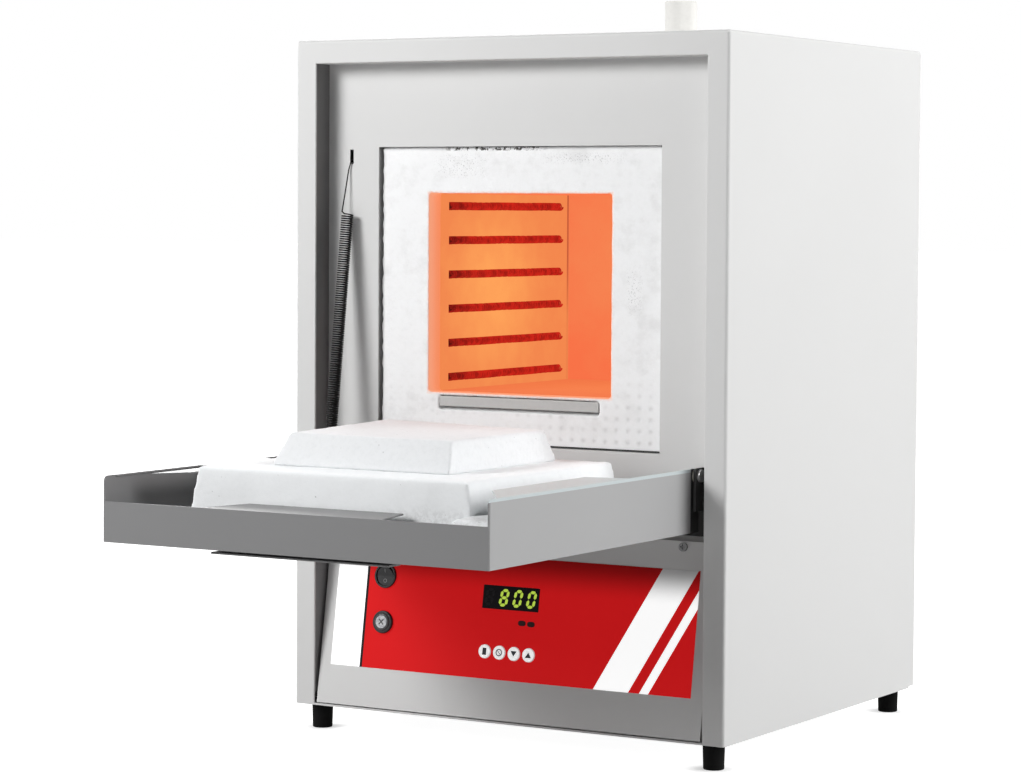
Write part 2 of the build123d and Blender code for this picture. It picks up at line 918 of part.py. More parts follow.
def door_tray():
    z = (door_face, door_flange_top)
    flange_tail = hinge_y + door_tail
    face_tail = hinge_y - door_face_tail
    tray = block((-door_half, door_half), (door_front, face_tail), (door_face, door_face + sheet))
    flange = block((door_inner, door_half), (door_front, flange_tail), z)
    flange = rounded(flange, door_corner, edges_at(flange, Axis.X, z=door_flange_top))
    rim_top = door_face + door_rim_height
    far = door_front + return_start
    near = hinge_y - return_end
    inner = door_half - return_width
    side_return = prism_z(
        (
            (door_inner, far),
            (inner, far + return_slant),
            (inner, near - return_end_slant),
            (door_inner, near),
        ),
        (door_flange_top - sheet, door_flange_top),
    )
    for solid in (flange, side_return):
        for piece in both(solid):
            tray += piece
    slot_half = spring_diameter / 2 + spring_slot_play
    slot_end = open_y(hook_slot_bottom) + spring_coil_drop + spring_diameter
    tray -= side_block(
        -1,
        (spring_x - slot_half, door_inner - sheet),
        (door_front + sheet, slot_end),
        (door_flange_top - 2 * sheet, slab_top),
    )
    tray += block((-door_half, door_half), (door_front, door_front + sheet), (door_face, rim_top))
    tray += prism_z(
        (
            (-return_front_half, door_front),
            (return_front_half, door_front),
            (return_tip_half, door_front + return_front_depth),
            (-return_tip_half, door_front + return_front_depth),
        ),
        (rim_top - sheet, rim_top),
    )
    for side in (-1, 1):
        x = (side * (door_inner - sheet), side * (door_half + sheet))
        tray -= rod_x(x, hinge_y, hinge_height, bush_diameter + 2 * pin_play)
    anchor_hole = (-door_half - sheet, sheet - door_inner)
    return tray - rod_x(anchor_hole, anchor_y, anchor_z, anchor_diameter + 2 * pin_play)


def door_insulation_slab():
    half = slab_half_width + slab_side_flare
    slab = frustum(
        (-half, half),
        (slab_far - slab_end_flare, slab_near + slab_end_flare),
        door_face + sheet,
        (-slab_half_width, slab_half_width),
        (slab_far, slab_near),
        slab_top,
    )
    return rounded(slab, slab_round, slab.edges().group_by(Axis.Z)[-1])


def door_plug():
    half = plug_half - plug_taper_side
    plug = frustum(
        (-plug_half, plug_half),
        (plug_far, plug_near),
        slab_top,
        (-half, half),
        (plug_far + plug_taper_end, plug_near - plug_taper_end),
        slab_top + plug_height,
    )
    return rounded(plug, plug_round, plug.edges().group_by(Axis.Z)[-1])


def door_handle():
    grip_y = door_front + handle_inset
    web_y = grip_y + handle_grip
    under = door_face - handle_sheet
    grip_z = door_face - handle_gap - handle_sheet
    outline = (
        (web_y + handle_leaf, door_face),
        (web_y + handle_leaf, under),
        (web_y + handle_sheet, under),
        (web_y + handle_sheet, grip_z),
        (grip_y, grip_z),
        (grip_y, grip_z + handle_sheet),
        (web_y, grip_z + handle_sheet),
        (web_y, door_face),
    )
    handle = prism_x(outline, (-handle_width / 2, handle_width / 2))
    return rounded(handle, handle_sheet / 3, edges_at(handle, Axis.X, y=grip_y))


def hinge_brackets():
    front = hinge_y - bracket_front
    top = hinge_height + bracket_rise
    ear = block(
        (bracket_inner, bracket_outer),
        (front, recess_depth),
        (hinge_height - bracket_drop, top),
    )
    ear += block(
        (bracket_inner, bracket_outer),
        (front, hinge_y + bracket_back),
        (hinge_height - bracket_drop, panel_bottom - touch_gap),
    )
    ear += block(
        (bracket_inner, open_half - touch_gap),
        (recess_depth - bracket_sheet, recess_depth),
        (panel_bottom + bracket_leaf_rise, top),
    )
    x = (bracket_inner - sheet, bracket_outer + sheet)
    ear -= rod_x(x, hinge_y, hinge_height, hinge_pin_diameter + 2 * pin_play)
    ear -= rod_x(x, stop_y, stop_z, stop_diameter + 2 * pin_play)
    for rise in bracket_screw_rise:
        ear -= rod_y(
            bracket_screw_x,
            (recess_depth - 2 * bracket_sheet, recess_depth + sheet),
            panel_bottom + rise,
            bracket_screw_diameter + 2 * pin_play,
        )
    return both(ear)


def bracket_screws():
    screws = []
    face = recess_depth - bracket_sheet
    for rise in bracket_screw_rise:
        z = panel_bottom + rise
        screw = rod_y(bracket_screw_x, (face, panel_back + 2 * sheet), z, bracket_screw_diameter)
        screw += rod_y(bracket_screw_x, (face - screw_head, face), z, bracket_screw_head)
        screws += both(screw)
    return screws


def hinge_pins():
    inner = door_inner - bush_inner - 2 * clip_thickness
    pin = rod_x((inner - clip_thickness, bracket_outer), hinge_y, hinge_height, hinge_pin_diameter)
    pin += rod_x((bracket_outer, bracket_outer + pin_head), hinge_y, hinge_height, pin_head_diameter)
    clip_x = (inner, inner + clip_thickness)
    clip = rod_x(clip_x, hinge_y, hinge_height, clip_diameter)
    clip -= rod_x((inner - overrun, door_inner), hinge_y, hinge_height, hinge_pin_diameter + 2 * pin_play)
    return both(pin) + both(clip)


def hinge_bushes():
    bush = rod_x((door_inner - bush_inner, door_half), hinge_y, hinge_height, bush_diameter)
    bush += rod_x((door_half, bush_face), hinge_y, hinge_height, bush_collar_diameter)
    bush -= rod_x((0, bush_face + overrun), hinge_y, hinge_height, hinge_pin_diameter + 2 * pin_play)
    return both(bush)


def door_stop_studs():
    stud = rod_x((door_inner - sheet, bracket_outer), stop_y, stop_z, stop_diameter)
    stud += rod_x((bracket_outer, bracket_outer + sheet), stop_y, stop_z, stop_head_diameter)
    return both(stud)


# Balance spring, at the left of the door

def spring_anchor():
    tip = anchor_reach - spring_x
    anchor = rod_x((-door_half, tip), anchor_y, anchor_z, anchor_diameter)
    anchor += rod_x((tip, tip + anchor_head), anchor_y, anchor_z, anchor_head_diameter)
    return anchor + rod_x((-door_half - sheet, -door_half), anchor_y, anchor_z, anchor_head_diameter)


def spring_axis_y(z):
    """Y of the spring's axis, a straight line from the hook slot to the anchor."""
    share = (z - anchor_z) / (hook_slot_bottom - anchor_z)
    return anchor_y + share * (recess_depth - anchor_y)


def biarc(start, start_dir, end, end_dir):
    """Two arcs that leave one point and reach the other along the given directions."""
    chord = end - start
    total = start_dir + end_dir
    bend = 1 - start_dir.dot(end_dir)
    along = chord.dot(total)
    reach = (sqrt(along**2 + 2 * bend * chord.dot(chord)) - along) / (2 * bend)
    first = start + start_dir * reach
    second = end - end_dir * reach
    middle = (first + second) / 2
    return [
        Edge.make_tangent_arc(start, start_dir, middle),
        Edge.make_tangent_arc(middle, second - first, end),
    ]


def spring_path():
    """Wire centre line of the spring, from the door's anchor to the hook slot."""
    low = Vector(-spring_x, spring_axis_y(spring_coil_bottom), spring_coil_bottom)
    high = Vector(-spring_x, spring_axis_y(spring_coil_top), spring_coil_top)
    up = (high - low).normalized()
    across = Vector(1, 0, 0)
    ahead = across.cross(up)
    radius = (spring_diameter - spring_wire) / 2
    lead_angle = atan2(radius, hook_lead)
    start_angle = pi - lead_angle
    sweep_angle = 2 * pi * spring_turns - (start_angle - lead_angle)
    rise = (high - low).length / sweep_angle
    slant = sqrt(radius**2 + rise**2)

    def place(angle):
        turned = across * cos(angle) + ahead * sin(angle)
        return low + up * (rise * (angle - start_angle)) + turned * radius

    def heading(angle):
        turned = across * -sin(angle) + ahead * cos(angle)
        return (turned * radius + up * rise) / slant

    steps = 2 * spring_turns
    angles = [start_angle + sweep_angle * i / steps for i in range(steps + 1)]
    turns = []
    for a, b in zip(angles, angles[1:]):
        turns += biarc(place(a), heading(a), place(b), heading(b))

    first, last = angles[0], angles[-1]
    low_lead = place(first) - heading(first) * hook_lead
    high_lead = place(last) + heading(last) * hook_lead
    anchor_hook_radius = anchor_diameter / 2 + touch_gap + spring_wire / 2
    bottom = spring_end(low_lead, place(first), anchor_y, anchor_z, anchor_hook_radius, -1)
    top_centre = hook_slot_bottom + touch_gap + spring_wire / 2 - hook_radius
    top = spring_end(high_lead, place(last), recess_depth + sheet / 2, top_centre, hook_radius, 1)
    edges = list(reversed(bottom.edges())) + turns + list(top.edges())
    print("spring pitch", round(rise * 2 * pi, 3), "least gap to itself", round(least_gap(edges), 3))
    return Wire(edges)


def least_gap(edges):
    """Least space between a spring's turns and ends, measured on points of its centre line."""
    points = [tuple(edge.position_at(i / gap_samples)) for edge in edges for i in range(gap_samples)]
    near = 3 * gap_samples
    spans = [dist(a, b) for i, a in enumerate(points) for b in points[i + near:]]
    return min(spans) - spring_wire


def spring_end(lead, coil_end, y, z, radius, way):
    """Wire off the coil, along the spring and round what holds it (way 1 up, -1 down)."""
    front = y - radius
    back = y + radius
    turn = z + way * radius
    points = (
        coil_end,
        lead,
        (lead.X, front, turn),
        (lead.X, back, turn),
        (lead.X, back, z - way * hook_tail),
    )
    hook = radius * hook_bend
    return FilletPolyline(*points, radius=[hook_lead * lead_bend, hook, hook])


def door_spring():
    path = spring_path()
    plane = Plane(origin=path.position_at(0), z_dir=path.tangent_at(0))
    return sweep(plane * Circle(spring_wire / 2), path=path)


# Fascia and controls

def fascia_panel():
    slant = fascia_sheet / cos(radians(fascia_lean))
    inner_top = fascia_top - fascia_sheet
    inner_bottom = fascia_bottom + fascia_sheet
    outline = (
        (front_y(fascia_bottom), fascia_bottom),
        (front_y(fascia_top), fascia_top),
        (baffle_y + sheet, fascia_top),
        (baffle_y + sheet, inner_top),
        (front_y(inner_top) + slant, inner_top),
        (front_y(inner_bottom) + slant, inner_bottom),
        (fascia_bottom_fold_end, inner_bottom),
        (fascia_bottom_fold_end, fascia_bottom),
    )
    panel = prism_x(outline, (-fascia_half, fascia_half))
    for side in (-1, 1):
        low, high = sorted((side * (fascia_half - fascia_sheet), side * fascia_half))
        panel += on_fascia((low, high), (2 * fascia_sheet, fascia_fold_top), (-fascia_fold, 0))
        for v in (board_low + pillar_inset, board_high - pillar_inset):
            x = side * (board_half_width - pillar_inset)
            panel += fascia_rod(x, v, (-board_depth, -fascia_sheet / 2), pillar_diameter)
    return panel - fascia_holes()


def fascia_holes():
    """Everything that passes through the fascia sheet and its label."""
    depth = (-2 * fascia_sheet, 2 * fascia_sheet)
    half_w = display_width / 2 + window_play
    half_h = display_height / 2 + window_play
    window_x = (display_x - half_w, display_x + half_w)
    holes = on_fascia(window_x, (display_v - half_h, display_v + half_h), depth)
    for x in button_places:
        holes += fascia_rod(x, button_v, depth, button_diameter + 2 * button_play)
    for x, v in lamp_leds:
        holes += fascia_rod(x, v, depth, led_diameter + 2 * pin_play)
    holes += fascia_rod(rocker_x, rocker_v, depth, rocker_barrel_diameter + 2 * pin_play)
    holes += fascia_rod(lamp_x, lamp_v, depth, lamp_barrel_diameter + 2 * pin_play)
    for side in (-1, 1):
        holes += fascia_rod(side * screw_x, screw_v, depth, screw_diameter + 2 * pin_play)
    return holes


def fascia_label():
    film = on_fascia((-label_half_width, label_half_width), (label_low, label_high), (0, label_film))
    return film - fascia_holes()


def fascia_screws():
    screws = []
    for side in (-1, 1):
        x = side * screw_x
        screw = fascia_rod(x, screw_v, (-fascia_sheet - screw_tail, 0), screw_diameter)
        screw += fascia_rod(x, screw_v, (0, screw_head), screw_head_diameter)
        n = (screw_head - screw_cross_depth, 2 * screw_head)
        arm = screw_cross / 2
        width = screw_cross_width / 2
        screw -= on_fascia((x - arm, x + arm), (screw_v - width, screw_v + width), n)
        screw -= on_fascia((x - width, x + width), (screw_v - arm, screw_v + arm), n)
        screws.append(screw)
    return screws


def display_window():
    x = (display_x - display_width / 2, display_x + display_width / 2)
    v = (display_v - display_height / 2, display_v + display_height / 2)
    return on_fascia(x, v, (-fascia_sheet, label_film + display_proud))


def display_module():
    x = (display_x - module_width / 2, display_x + module_width / 2)
    v = (display_v - module_height / 2, display_v + module_height / 2)
    return on_fascia(x, v, (-board_depth, -fascia_sheet))


def output_lamps():
    lamps = []
    for x, v in lamp_leds:
        lamp = fascia_rod(x, v, (label_film - led_length, label_film), led_diameter)
        lamp += fascia_rod(x, v, (-board_depth, label_film - led_length), led_diameter / 2)
        lamps.append(lamp)
    return lamps


def button(x):
    back = -fascia_sheet - button_collar_gap
    cap = fascia_rod(x, button_v, (back - button_collar, label_film + button_proud), button_diameter)
    cap = fillet(cap.faces().sort_by(Axis.Y)[0].edges(), button_round)
    cap += fascia_rod(x, button_v, (back - button_collar, back), button_collar_diameter)
    return cap + fascia_rod(x, button_v, (-button_stem_end, back - button_collar), button_stem_diameter)


def controller_board():
    top = -board_depth
    width = (-board_half_width, board_half_width)
    board = on_fascia(width, (board_low, board_high), (top - board_thickness, top))
    half = switch_body / 2
    switch_v = (button_v - half, button_v + half)
    plunger_end = -button_stem_end - button_travel - button_collar_gap
    for x in button_places:
        board += on_fascia((x - half, x + half), switch_v, (top, top + switch_body_height))
        board += fascia_rod(x, button_v, (top, plunger_end), switch_plunger_diameter)
    for x, v, width, height, depth in board_parts:
        board += on_fascia(
            (x - width / 2, x + width / 2),
            (v - height / 2, v + height / 2),
            (top - board_thickness - depth, top - board_thickness),
        )
    return board


def rocker_bezel():
    bezel = fascia_rod(rocker_x, rocker_v, (label_film, label_film + rocker_proud), rocker_diameter)
    bezel = fillet(bezel.faces().sort_by(Axis.Y)[0].edges(), rocker_round)
    bezel += fascia_rod(rocker_x, rocker_v, (-rocker_barrel_length, label_film), rocker_barrel_diameter)
    well = (-rocker_well_depth, label_film + 2 * rocker_proud)
    bezel -= fascia_rod(rocker_x, rocker_v, well, rocker_well_diameter)
    bezel -= rocker_axle(rocker_axle_diameter + 2 * pin_play)
    tab_v = (rocker_v - rocker_tab_height / 2, rocker_v + rocker_tab_height / 2)
    for place in rocker_tabs:
        x = rocker_x + place
        bezel += on_fascia(
            (x - rocker_tab_sheet / 2, x + rocker_tab_sheet / 2),
            tab_v,
            (-rocker_barrel_length - rocker_tab_length, -rocker_barrel_length),
        )
    return bezel


def rocker_axle(diameter):
    reach = rocker_barrel_diameter / 2 - 2 * pin_play
    return fascia * rod_x((rocker_x - reach, rocker_x + reach), rocker_v, -rocker_pivot_depth, diameter)


def rocker_paddle():
    half = rocker_cap_diameter / 2
    outline = (
        (-half, -rocker_cap_base),
        (half, -rocker_cap_base),
        (half, rocker_cap_edge),
        (0, rocker_cap_dip),
        (-half, rocker_cap_edge),
    )
    cap = prism_x(outline, (-half, half))
    cap &= rod_z(0, 0, (-2 * rocker_cap_base, 2 * rocker_cap_edge), rocker_cap_diameter)
    pivot = Pos(0, 0, -rocker_pivot_depth)
    tilted = pivot * Rot(rocker_tilt, 0, 0) * pivot.inverse() * cap
    return fascia * Pos(rocker_x, rocker_v, 0) * tilted + rocker_axle(rocker_axle_diameter)


def lamp_bezel():
    bezel = fascia_rod(lamp_x, lamp_v, (label_film, label_film + lamp_proud), lamp_diameter)
    bezel = fillet(bezel.faces().sort_by(Axis.Y)[0].edges(), lamp_round)
    bezel += fascia_rod(lamp_x, lamp_v, (-lamp_barrel_length, label_film), lamp_barrel_diameter)
    well = (-lamp_lens_depth, label_film + 2 * lamp_proud)
    return bezel - fascia_rod(lamp_x, lamp_v, well, lamp_lens_diameter + 2 * pin_play)


def lamp_lens():
    face = label_film + lamp_proud + lamp_dome
    lens = fascia_rod(lamp_x, lamp_v, (-lamp_lens_depth, face), lamp_lens_diameter)
    return fillet(lens.faces().sort_by(Axis.Y)[0].edges(), lamp_dome)


# Mains inlet

def inlet_box(width, height, y):
    half_w = width / 2
    half_h = height / 2
    return block((inlet_x - half_w, inlet_x + half_w), y, (inlet_height - half_h, inlet_height + half_h))


def mains_inlet():
    face = cover_face + inlet_flange
    flange = inlet_box(inlet_flange_width, inlet_flange_height, (cover_face, face))
    inlet = rounded(flange, inlet_round, flange.edges().filter_by(Axis.Y))
    inlet += inlet_box(inlet_body_width, inlet_body_height, (face - inlet_body_depth, face))
    inlet -= inlet_box(socket_width, socket_height, (face - socket_depth, face + overrun))
    for solid in blade_solids(pin_play):
        inlet -= solid
    return inlet


def blade_solids(extra):
    floor = cover_face + inlet_flange - socket_depth
    solids = []
    for x, z in ((-blade_spacing / 2, -blade_offset), (0, blade_offset), (blade_spacing / 2, -blade_offset)):
        solids.append(
            block(
                (inlet_x + x - blade_width / 2 - extra, inlet_x + x + blade_width / 2 + extra),
                (floor - blade_root, floor + blade_reach),
                (inlet_height + z - blade_height / 2 - extra, inlet_height + z + blade_height / 2 + extra),
            )
        )
    return solids


def inlet_pins():
    return blade_solids(0)


# Power parts on the base

def relay_heatsink():
    bottom = base_sheet
    top = bottom + heatsink_fin_height
    x = (relay_x - heatsink_width / 2, relay_x + heatsink_width / 2)
    y = (relay_y - heatsink_depth / 2, relay_y + heatsink_depth / 2)
    sink = block(x, y, (top, top + heatsink_plate))
    pitch = (heatsink_width - heatsink_fin) / (heatsink_fins - 1)
    for i in range(heatsink_fins):
        start = x[0] + i * pitch
        sink += block((start, start + heatsink_fin), y, (bottom, top))
    return sink


def solid_state_relay():
    bottom = base_sheet + heatsink_fin_height + heatsink_plate
    x = (relay_x - relay_width / 2, relay_x + relay_width / 2)
    y = (relay_y - relay_depth / 2, relay_y + relay_depth / 2)
    relay = block(x, y, (bottom, bottom + relay_height))
    well = relay_width / 4
    for end in (y[0], y[1]):
        relay -= block(
            (relay_x - well, relay_x + well),
            (end - well / 2, end + well / 2),
            (bottom + relay_height / 2, bottom + 2 * relay_height),
        )
    return relay


def safety_contactor():
    x = (contactor_x - contactor_width / 2, contactor_x + contactor_width / 2)
    y = (contactor_y - contactor_depth / 2, contactor_y + contactor_depth / 2)
    body = block(x, y, (base_sheet, base_sheet + contactor_height - contactor_step))
    inset = contactor_depth / 5
    body += block(x, (y[0] + inset, y[1] - inset), (base_sheet, base_sheet + contactor_height))
    return body


def terminal_block():
    x = (terminal_x - terminal_width / 2, terminal_x + terminal_width / 2)
    y = (terminal_y - terminal_depth / 2, terminal_y + terminal_depth / 2)
    body = block(x, y, (base_sheet, base_sheet + terminal_height))
    pitch = terminal_width / terminal_ways
    for i in range(1, terminal_ways):
        middle = x[0] + i * pitch
        body -= block(
            (middle - terminal_groove / 2, middle + terminal_groove / 2),
            (y[0] - overrun, y[1] + overrun),
            (base_sheet + terminal_height / 2, base_sheet + 2 * terminal_height),
        )
    return body


def loom(*points):
    path = FilletPolyline(*points, radius=loom_bend)
    plane = Plane(origin=path.position_at(0), z_dir=path.tangent_at(0))
    return sweep(plane * Circle(loom_diameter / 2), path=path)


def wiring_looms():
    inlet_back = cover_face + inlet_flange - inlet_body_depth
    terminal_rear = terminal_y + terminal_depth / 2
    mains_x = terminal_x - mains_offset
    mains_y = terminal_rear + mains_drop_y
    mains = loom(
        (inlet_x, inlet_back, inlet_height),
        (inlet_x, inlet_back - mains_run, inlet_height),
        (inlet_x, mains_y, loom_height),
        (mains_x, mains_y, loom_height),
        (mains_x, terminal_rear, loom_height),
    )
    load_x = terminal_x + load_offset
    load_y = relay_y - load_run_y
    relay_side = relay_x - load_relay_offset
    relay_level = base_sheet + heatsink_fin_height + heatsink_plate + relay_height / 4
    load = loom(
        (load_x, terminal_y - terminal_depth / 2, loom_height),
        (load_x, load_y, loom_height),
        (relay_side, load_y, loom_height),
        (relay_side, load_y, relay_level),
        (relay_side, relay_y - relay_depth / 2, relay_level),
    )
    return [mains, load]


# Door sensor

def door_sensor():
    return block(
        (sensor_x - sensor_width / 2, sensor_x + sensor_width / 2),
        (panel_back, panel_back + sensor_depth),
        (sensor_height - sensor_length / 2, sensor_height + sensor_length / 2),
    )


def door_magnet():
    y = open_y(sensor_height)
    top = door_flange_top - sheet
    magnet = block(
        (door_inner - magnet_depth, door_inner),
        (y - magnet_length / 2, y + magnet_length / 2),
        (top - magnet_height, top),
    )
    return rounded(magnet, magnet_round, magnet.edges().filter_by(Axis.X))


# Assembly

pieces = {
    "outer_case": outer_case(),
    "base_tray": base_tray(),
    "rear_cover": rear_cover(),
    "rear_screws": rear_screws(),
    "front_panel": front_panel(),
    "chamber_deck": chamber_deck(),
    "chamber_casing": chamber_casing(),
    "insulation_front": insulation_front(),
    "insulation_left": insulation_side(-1),
    "insulation_right": insulation_side(1),
    "insulation_top": insulation_top(),
    "insulation_bottom": insulation_bottom(),
    "insulation_rear": insulation_rear(),
    "hearth_plate": hearth_plate(),
    "sill_bar": sill_bar(),
    "heating_element_left": element_solid(-1, 0),
    "heating_element_right": element_solid(1, 0),
    "element_bushings": element_bushings(),
    "chimney_tube": chimney_tube(),
    "chimney_collar": chimney_collar(),
    "thermocouple_probe": thermocouple_probe(),
    "rubber_feet": rubber_feet(),
    "foot_fasteners": foot_fasteners(),
    "door_tray": door_tray(),
    "door_insulation_slab": door_insulation_slab(),
    "door_plug": door_plug(),
    "door_handle": door_handle(),
    "hinge_brackets": hinge_brackets(),
    "bracket_screws": bracket_screws(),
    "hinge_pins": hinge_pins(),
    "hinge_bushes": hinge_bushes(),
    "door_stop_studs": door_stop_studs(),
    "spring_anchor": spring_anchor(),
    "door_spring": door_spring(),
    "fascia_panel": fascia_panel(),
    "fascia_label": fascia_label(),
    "fascia_screws": fascia_screws(),
    "display_window": display_window(),
    "display_module": display_module(),
    "output_lamps": output_lamps(),
    "controller_board": controller_board(),
    "rocker_bezel": rocker_bezel(),
    "rocker_paddle": rocker_paddle(),
    "lamp_bezel": lamp_bezel(),
    "lamp_lens": lamp_lens(),
    "mains_inlet": mains_inlet(),
    "inlet_pins": inlet_pins(),
    "relay_heatsink": relay_heatsink(),
    "solid_state_relay": solid_state_relay(),
    "safety_contactor": safety_contactor(),
    "terminal_block": terminal_block(),
    "wiring_looms": wiring_looms(),
    "door_sensor": door_sensor(),
    "door_magnet": door_magnet(),
}
for name, x in zip(button_names, button_places):
    pieces[name] = button(x)

# The origin: middle of the footprint, with the door open, at bench level
origin = Pos(0, -(door_front + case_depth) / 2, foot_height)
os.makedirs("parts", exist_ok=True)
for name, piece in pieces.items():
    solids = piece if isinstance(piece, list) else piece.solids()
    placed = [origin * solid for part in solids for solid in part.solids()]
    export_step(placed[0] if len(placed) == 1 else Compound(placed), f"parts/{name}.step")
print(len(pieces), "pieces written")
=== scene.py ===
import math

import bpy
from mathutils import Matrix, Vector, noise


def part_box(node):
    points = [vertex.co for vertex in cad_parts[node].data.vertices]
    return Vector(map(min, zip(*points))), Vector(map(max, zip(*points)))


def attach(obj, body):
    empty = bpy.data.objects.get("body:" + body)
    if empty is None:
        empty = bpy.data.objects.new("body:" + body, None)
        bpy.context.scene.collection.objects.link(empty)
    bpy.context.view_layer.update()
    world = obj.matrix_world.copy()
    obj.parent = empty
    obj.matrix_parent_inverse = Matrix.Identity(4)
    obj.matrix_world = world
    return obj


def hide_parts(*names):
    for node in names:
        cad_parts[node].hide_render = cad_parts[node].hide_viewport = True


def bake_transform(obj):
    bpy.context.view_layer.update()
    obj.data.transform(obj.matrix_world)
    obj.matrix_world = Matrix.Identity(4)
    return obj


bpy.context.scene.view_settings.view_transform = "Standard"

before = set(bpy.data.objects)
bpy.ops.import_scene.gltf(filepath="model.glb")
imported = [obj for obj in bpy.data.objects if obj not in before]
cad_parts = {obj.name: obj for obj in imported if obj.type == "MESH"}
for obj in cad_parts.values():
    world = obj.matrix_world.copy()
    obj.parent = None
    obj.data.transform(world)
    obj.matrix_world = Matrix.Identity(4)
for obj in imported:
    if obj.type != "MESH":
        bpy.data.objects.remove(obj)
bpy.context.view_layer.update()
print("frame loaded,", len(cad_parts), "nodes")

# Places below are in the furnace's own millimetres: X to the right, Y back from the case front,
# Z up from the underside of the base. These two values take them to the frame's metres.
frontOffset = -34
benchOffset = 21

fascia = {"footY": 0.8, "footZ": 2.5, "lean": math.radians(8.87)}


def spot(x, y, z):
    return Vector((x / 1000, (y + frontOffset) / 1000, (z + benchOffset) / 1000))


def fasciaMatrix():
    # takes millimetres along the fascia (x, up the slope, out of it) to the frame
    lean = fascia["lean"]
    out = Vector((0, -math.cos(lean), math.sin(lean))) / 1000
    up = Vector((0, math.sin(lean), math.cos(lean))) / 1000
    base = spot(0, fascia["footY"], fascia["footZ"])
    rows = [[(0.001, 0, 0)[i], up[i], out[i], base[i]] for i in range(3)]
    return Matrix(rows + [[0, 0, 0, 1]])


# Camera, floor and light

camera = {
    "place": (1288.55, -2149.57, 419.67),
    "turn": (87.43106, -0.33932, 30.81285),
    "lens": 109.048,
    "shift": -0.03918,
}
floor = {
    "size": 60, "colour": (0.5, 0.5, 0.5, 1), "glow": 0.95, "farGlow": 1.05, "near": 0.7, "far": 2.2,
    "feet": [(-0.1865, -0.0175), (0.1865, -0.0175), (-0.1865, 0.3195), (0.1865, 0.3195)],
    "shadowCore": 0.008, "shadowRadius": 0.026, "shadow": 0.45,
}
world = {"fill": (0.93, 0.96, 1.0, 1), "strength": 0.05}
lamps = [
    # name, place, aim, width, height, watts
    ("nearSoftbox", (-1.0, -1.25, 1.15), (0, 0, 0.3), 0.6, 0.6, 17.6),
    ("frontSoftbox", (-1.5, -2.6, 1.5), (0, 0, 0.35), 1.3, 1.1, 36),
    ("sideSoftbox", (2.5, 0.75, 1.0), (0.1, 0.15, 0.3), 1.5, 1.5, 36),
    ("highSoftbox", (1.9, 0.4, 2.0), (0.1, 0.0, 0.3), 1.0, 1.0, 35),
    ("rearSoftbox", (-2.0, 2.4, 1.4), (0, 0.3, 0.3), 1.4, 1.4, 60),
]


def addObject(name, data):
    item = bpy.data.objects.new(name, data)
    bpy.context.scene.collection.objects.link(item)
    return item


def makeCamera():
    data = bpy.data.cameras.new("photoCamera")
    data.lens = camera["lens"]
    data.sensor_width = 36
    data.shift_y = camera["shift"]
    holder = addObject("photoCamera", data)
    holder.location = spot(*camera["place"])
    holder.rotation_euler = [math.radians(a) for a in camera["turn"]]
    bpy.context.scene.camera = holder


def makeLamps():
    for name, place, aim, width, height, watts in lamps:
        data = bpy.data.lights.new(name, "AREA")
        data.shape = "RECTANGLE"
        data.size = width
        data.size_y = height
        data.energy = watts
        light = addObject(name, data)
        light.location = place
        light.rotation_euler = (Vector(place) - Vector(aim)).to_track_quat("Z", "Y").to_euler()


makeCamera()
makeLamps()
print("camera and lamps are set")


# Node helpers and shared surface effects, as node groups

def feed(tree, value, socket):
    # a number or a colour is set, another node's output is linked
    if isinstance(value, (int, float)):
        socket.default_value = value
    elif isinstance(value, tuple):
        socket.default_value = (*value, 1)
    else:
        tree.links.new(value, socket)


def newGroup(name, inputs, outputs):
    group = bpy.data.node_groups.new(name, "ShaderNodeTree")
    for label, value in inputs:
        socket = group.interface.new_socket(name=label, in_out="INPUT", socket_type="NodeSocketFloat")
        socket.default_value = value
    for label in outputs:
        group.interface.new_socket(name=label, in_out="OUTPUT", socket_type="NodeSocketFloat")
    return group, group.nodes.new("NodeGroupInput"), group.nodes.new("NodeGroupOutput")


def mathNode(tree, operation, *values):
    node = tree.nodes.new("ShaderNodeMath")
    node.operation = operation
    for slot, value in enumerate(values):
        feed(tree, value, node.inputs[slot])
    return node.outputs[0]


def multiply(tree, first, *others):
    for other in others:
        first = mathNode(tree, "MULTIPLY", first, other)
    return first


def largest(tree, first, *others):
    for other in others:
        first = mathNode(tree, "MAXIMUM", first, other)
    return first


def minus(tree, first, second):
    return mathNode(tree, "SUBTRACT", first, second)


def fromMiddle(tree, value, middle):
    return mathNode(tree, "ABSOLUTE", minus(tree, value, middle))


def within(tree, value, middle, half):
    return mathNode(tree, "LESS_THAN", fromMiddle(tree, value, middle), half)


def noiseNode(tree, coords, scale, detail=2.0, roughness=0.5):
    node = tree.nodes.new("ShaderNodeTexNoise")
    feed(tree, scale, node.inputs["Scale"])
    feed(tree, detail, node.inputs["Detail"])
    feed(tree, roughness, node.inputs["Roughness"])
    tree.links.new(coords, node.inputs["Vector"])
    return node.outputs["Fac"]


def ramp(tree, value, low, high, newLow=0.0, newHigh=1.0):
    node = tree.nodes.new("ShaderNodeMapRange")
    node.interpolation_type = "SMOOTHSTEP"
    node.inputs["From Min"].default_value = low
    node.inputs["From Max"].default_value = high
    node.inputs["To Min"].default_value = newLow
    node.inputs["To Max"].default_value = newHigh
    tree.links.new(value, node.inputs["Value"])
    return node.outputs[0]


def noiseRange(tree, coords, scale, limits, detail=2.0, roughness=0.5):
    # the settings below give a noise as its scale, its limits, its detail and its roughness
    return ramp(tree, noiseNode(tree, coords, scale, detail, roughness), *limits)


def distanceNode(tree, coords, place):
    node = tree.nodes.new("ShaderNodeVectorMath")
    node.operation = "DISTANCE"
    node.inputs[1].default_value = place
    tree.links.new(coords, node.inputs[0])
    return node.outputs["Value"]


def objectCoords(tree):
    return tree.nodes.new("ShaderNodeTexCoord").outputs["Object"]


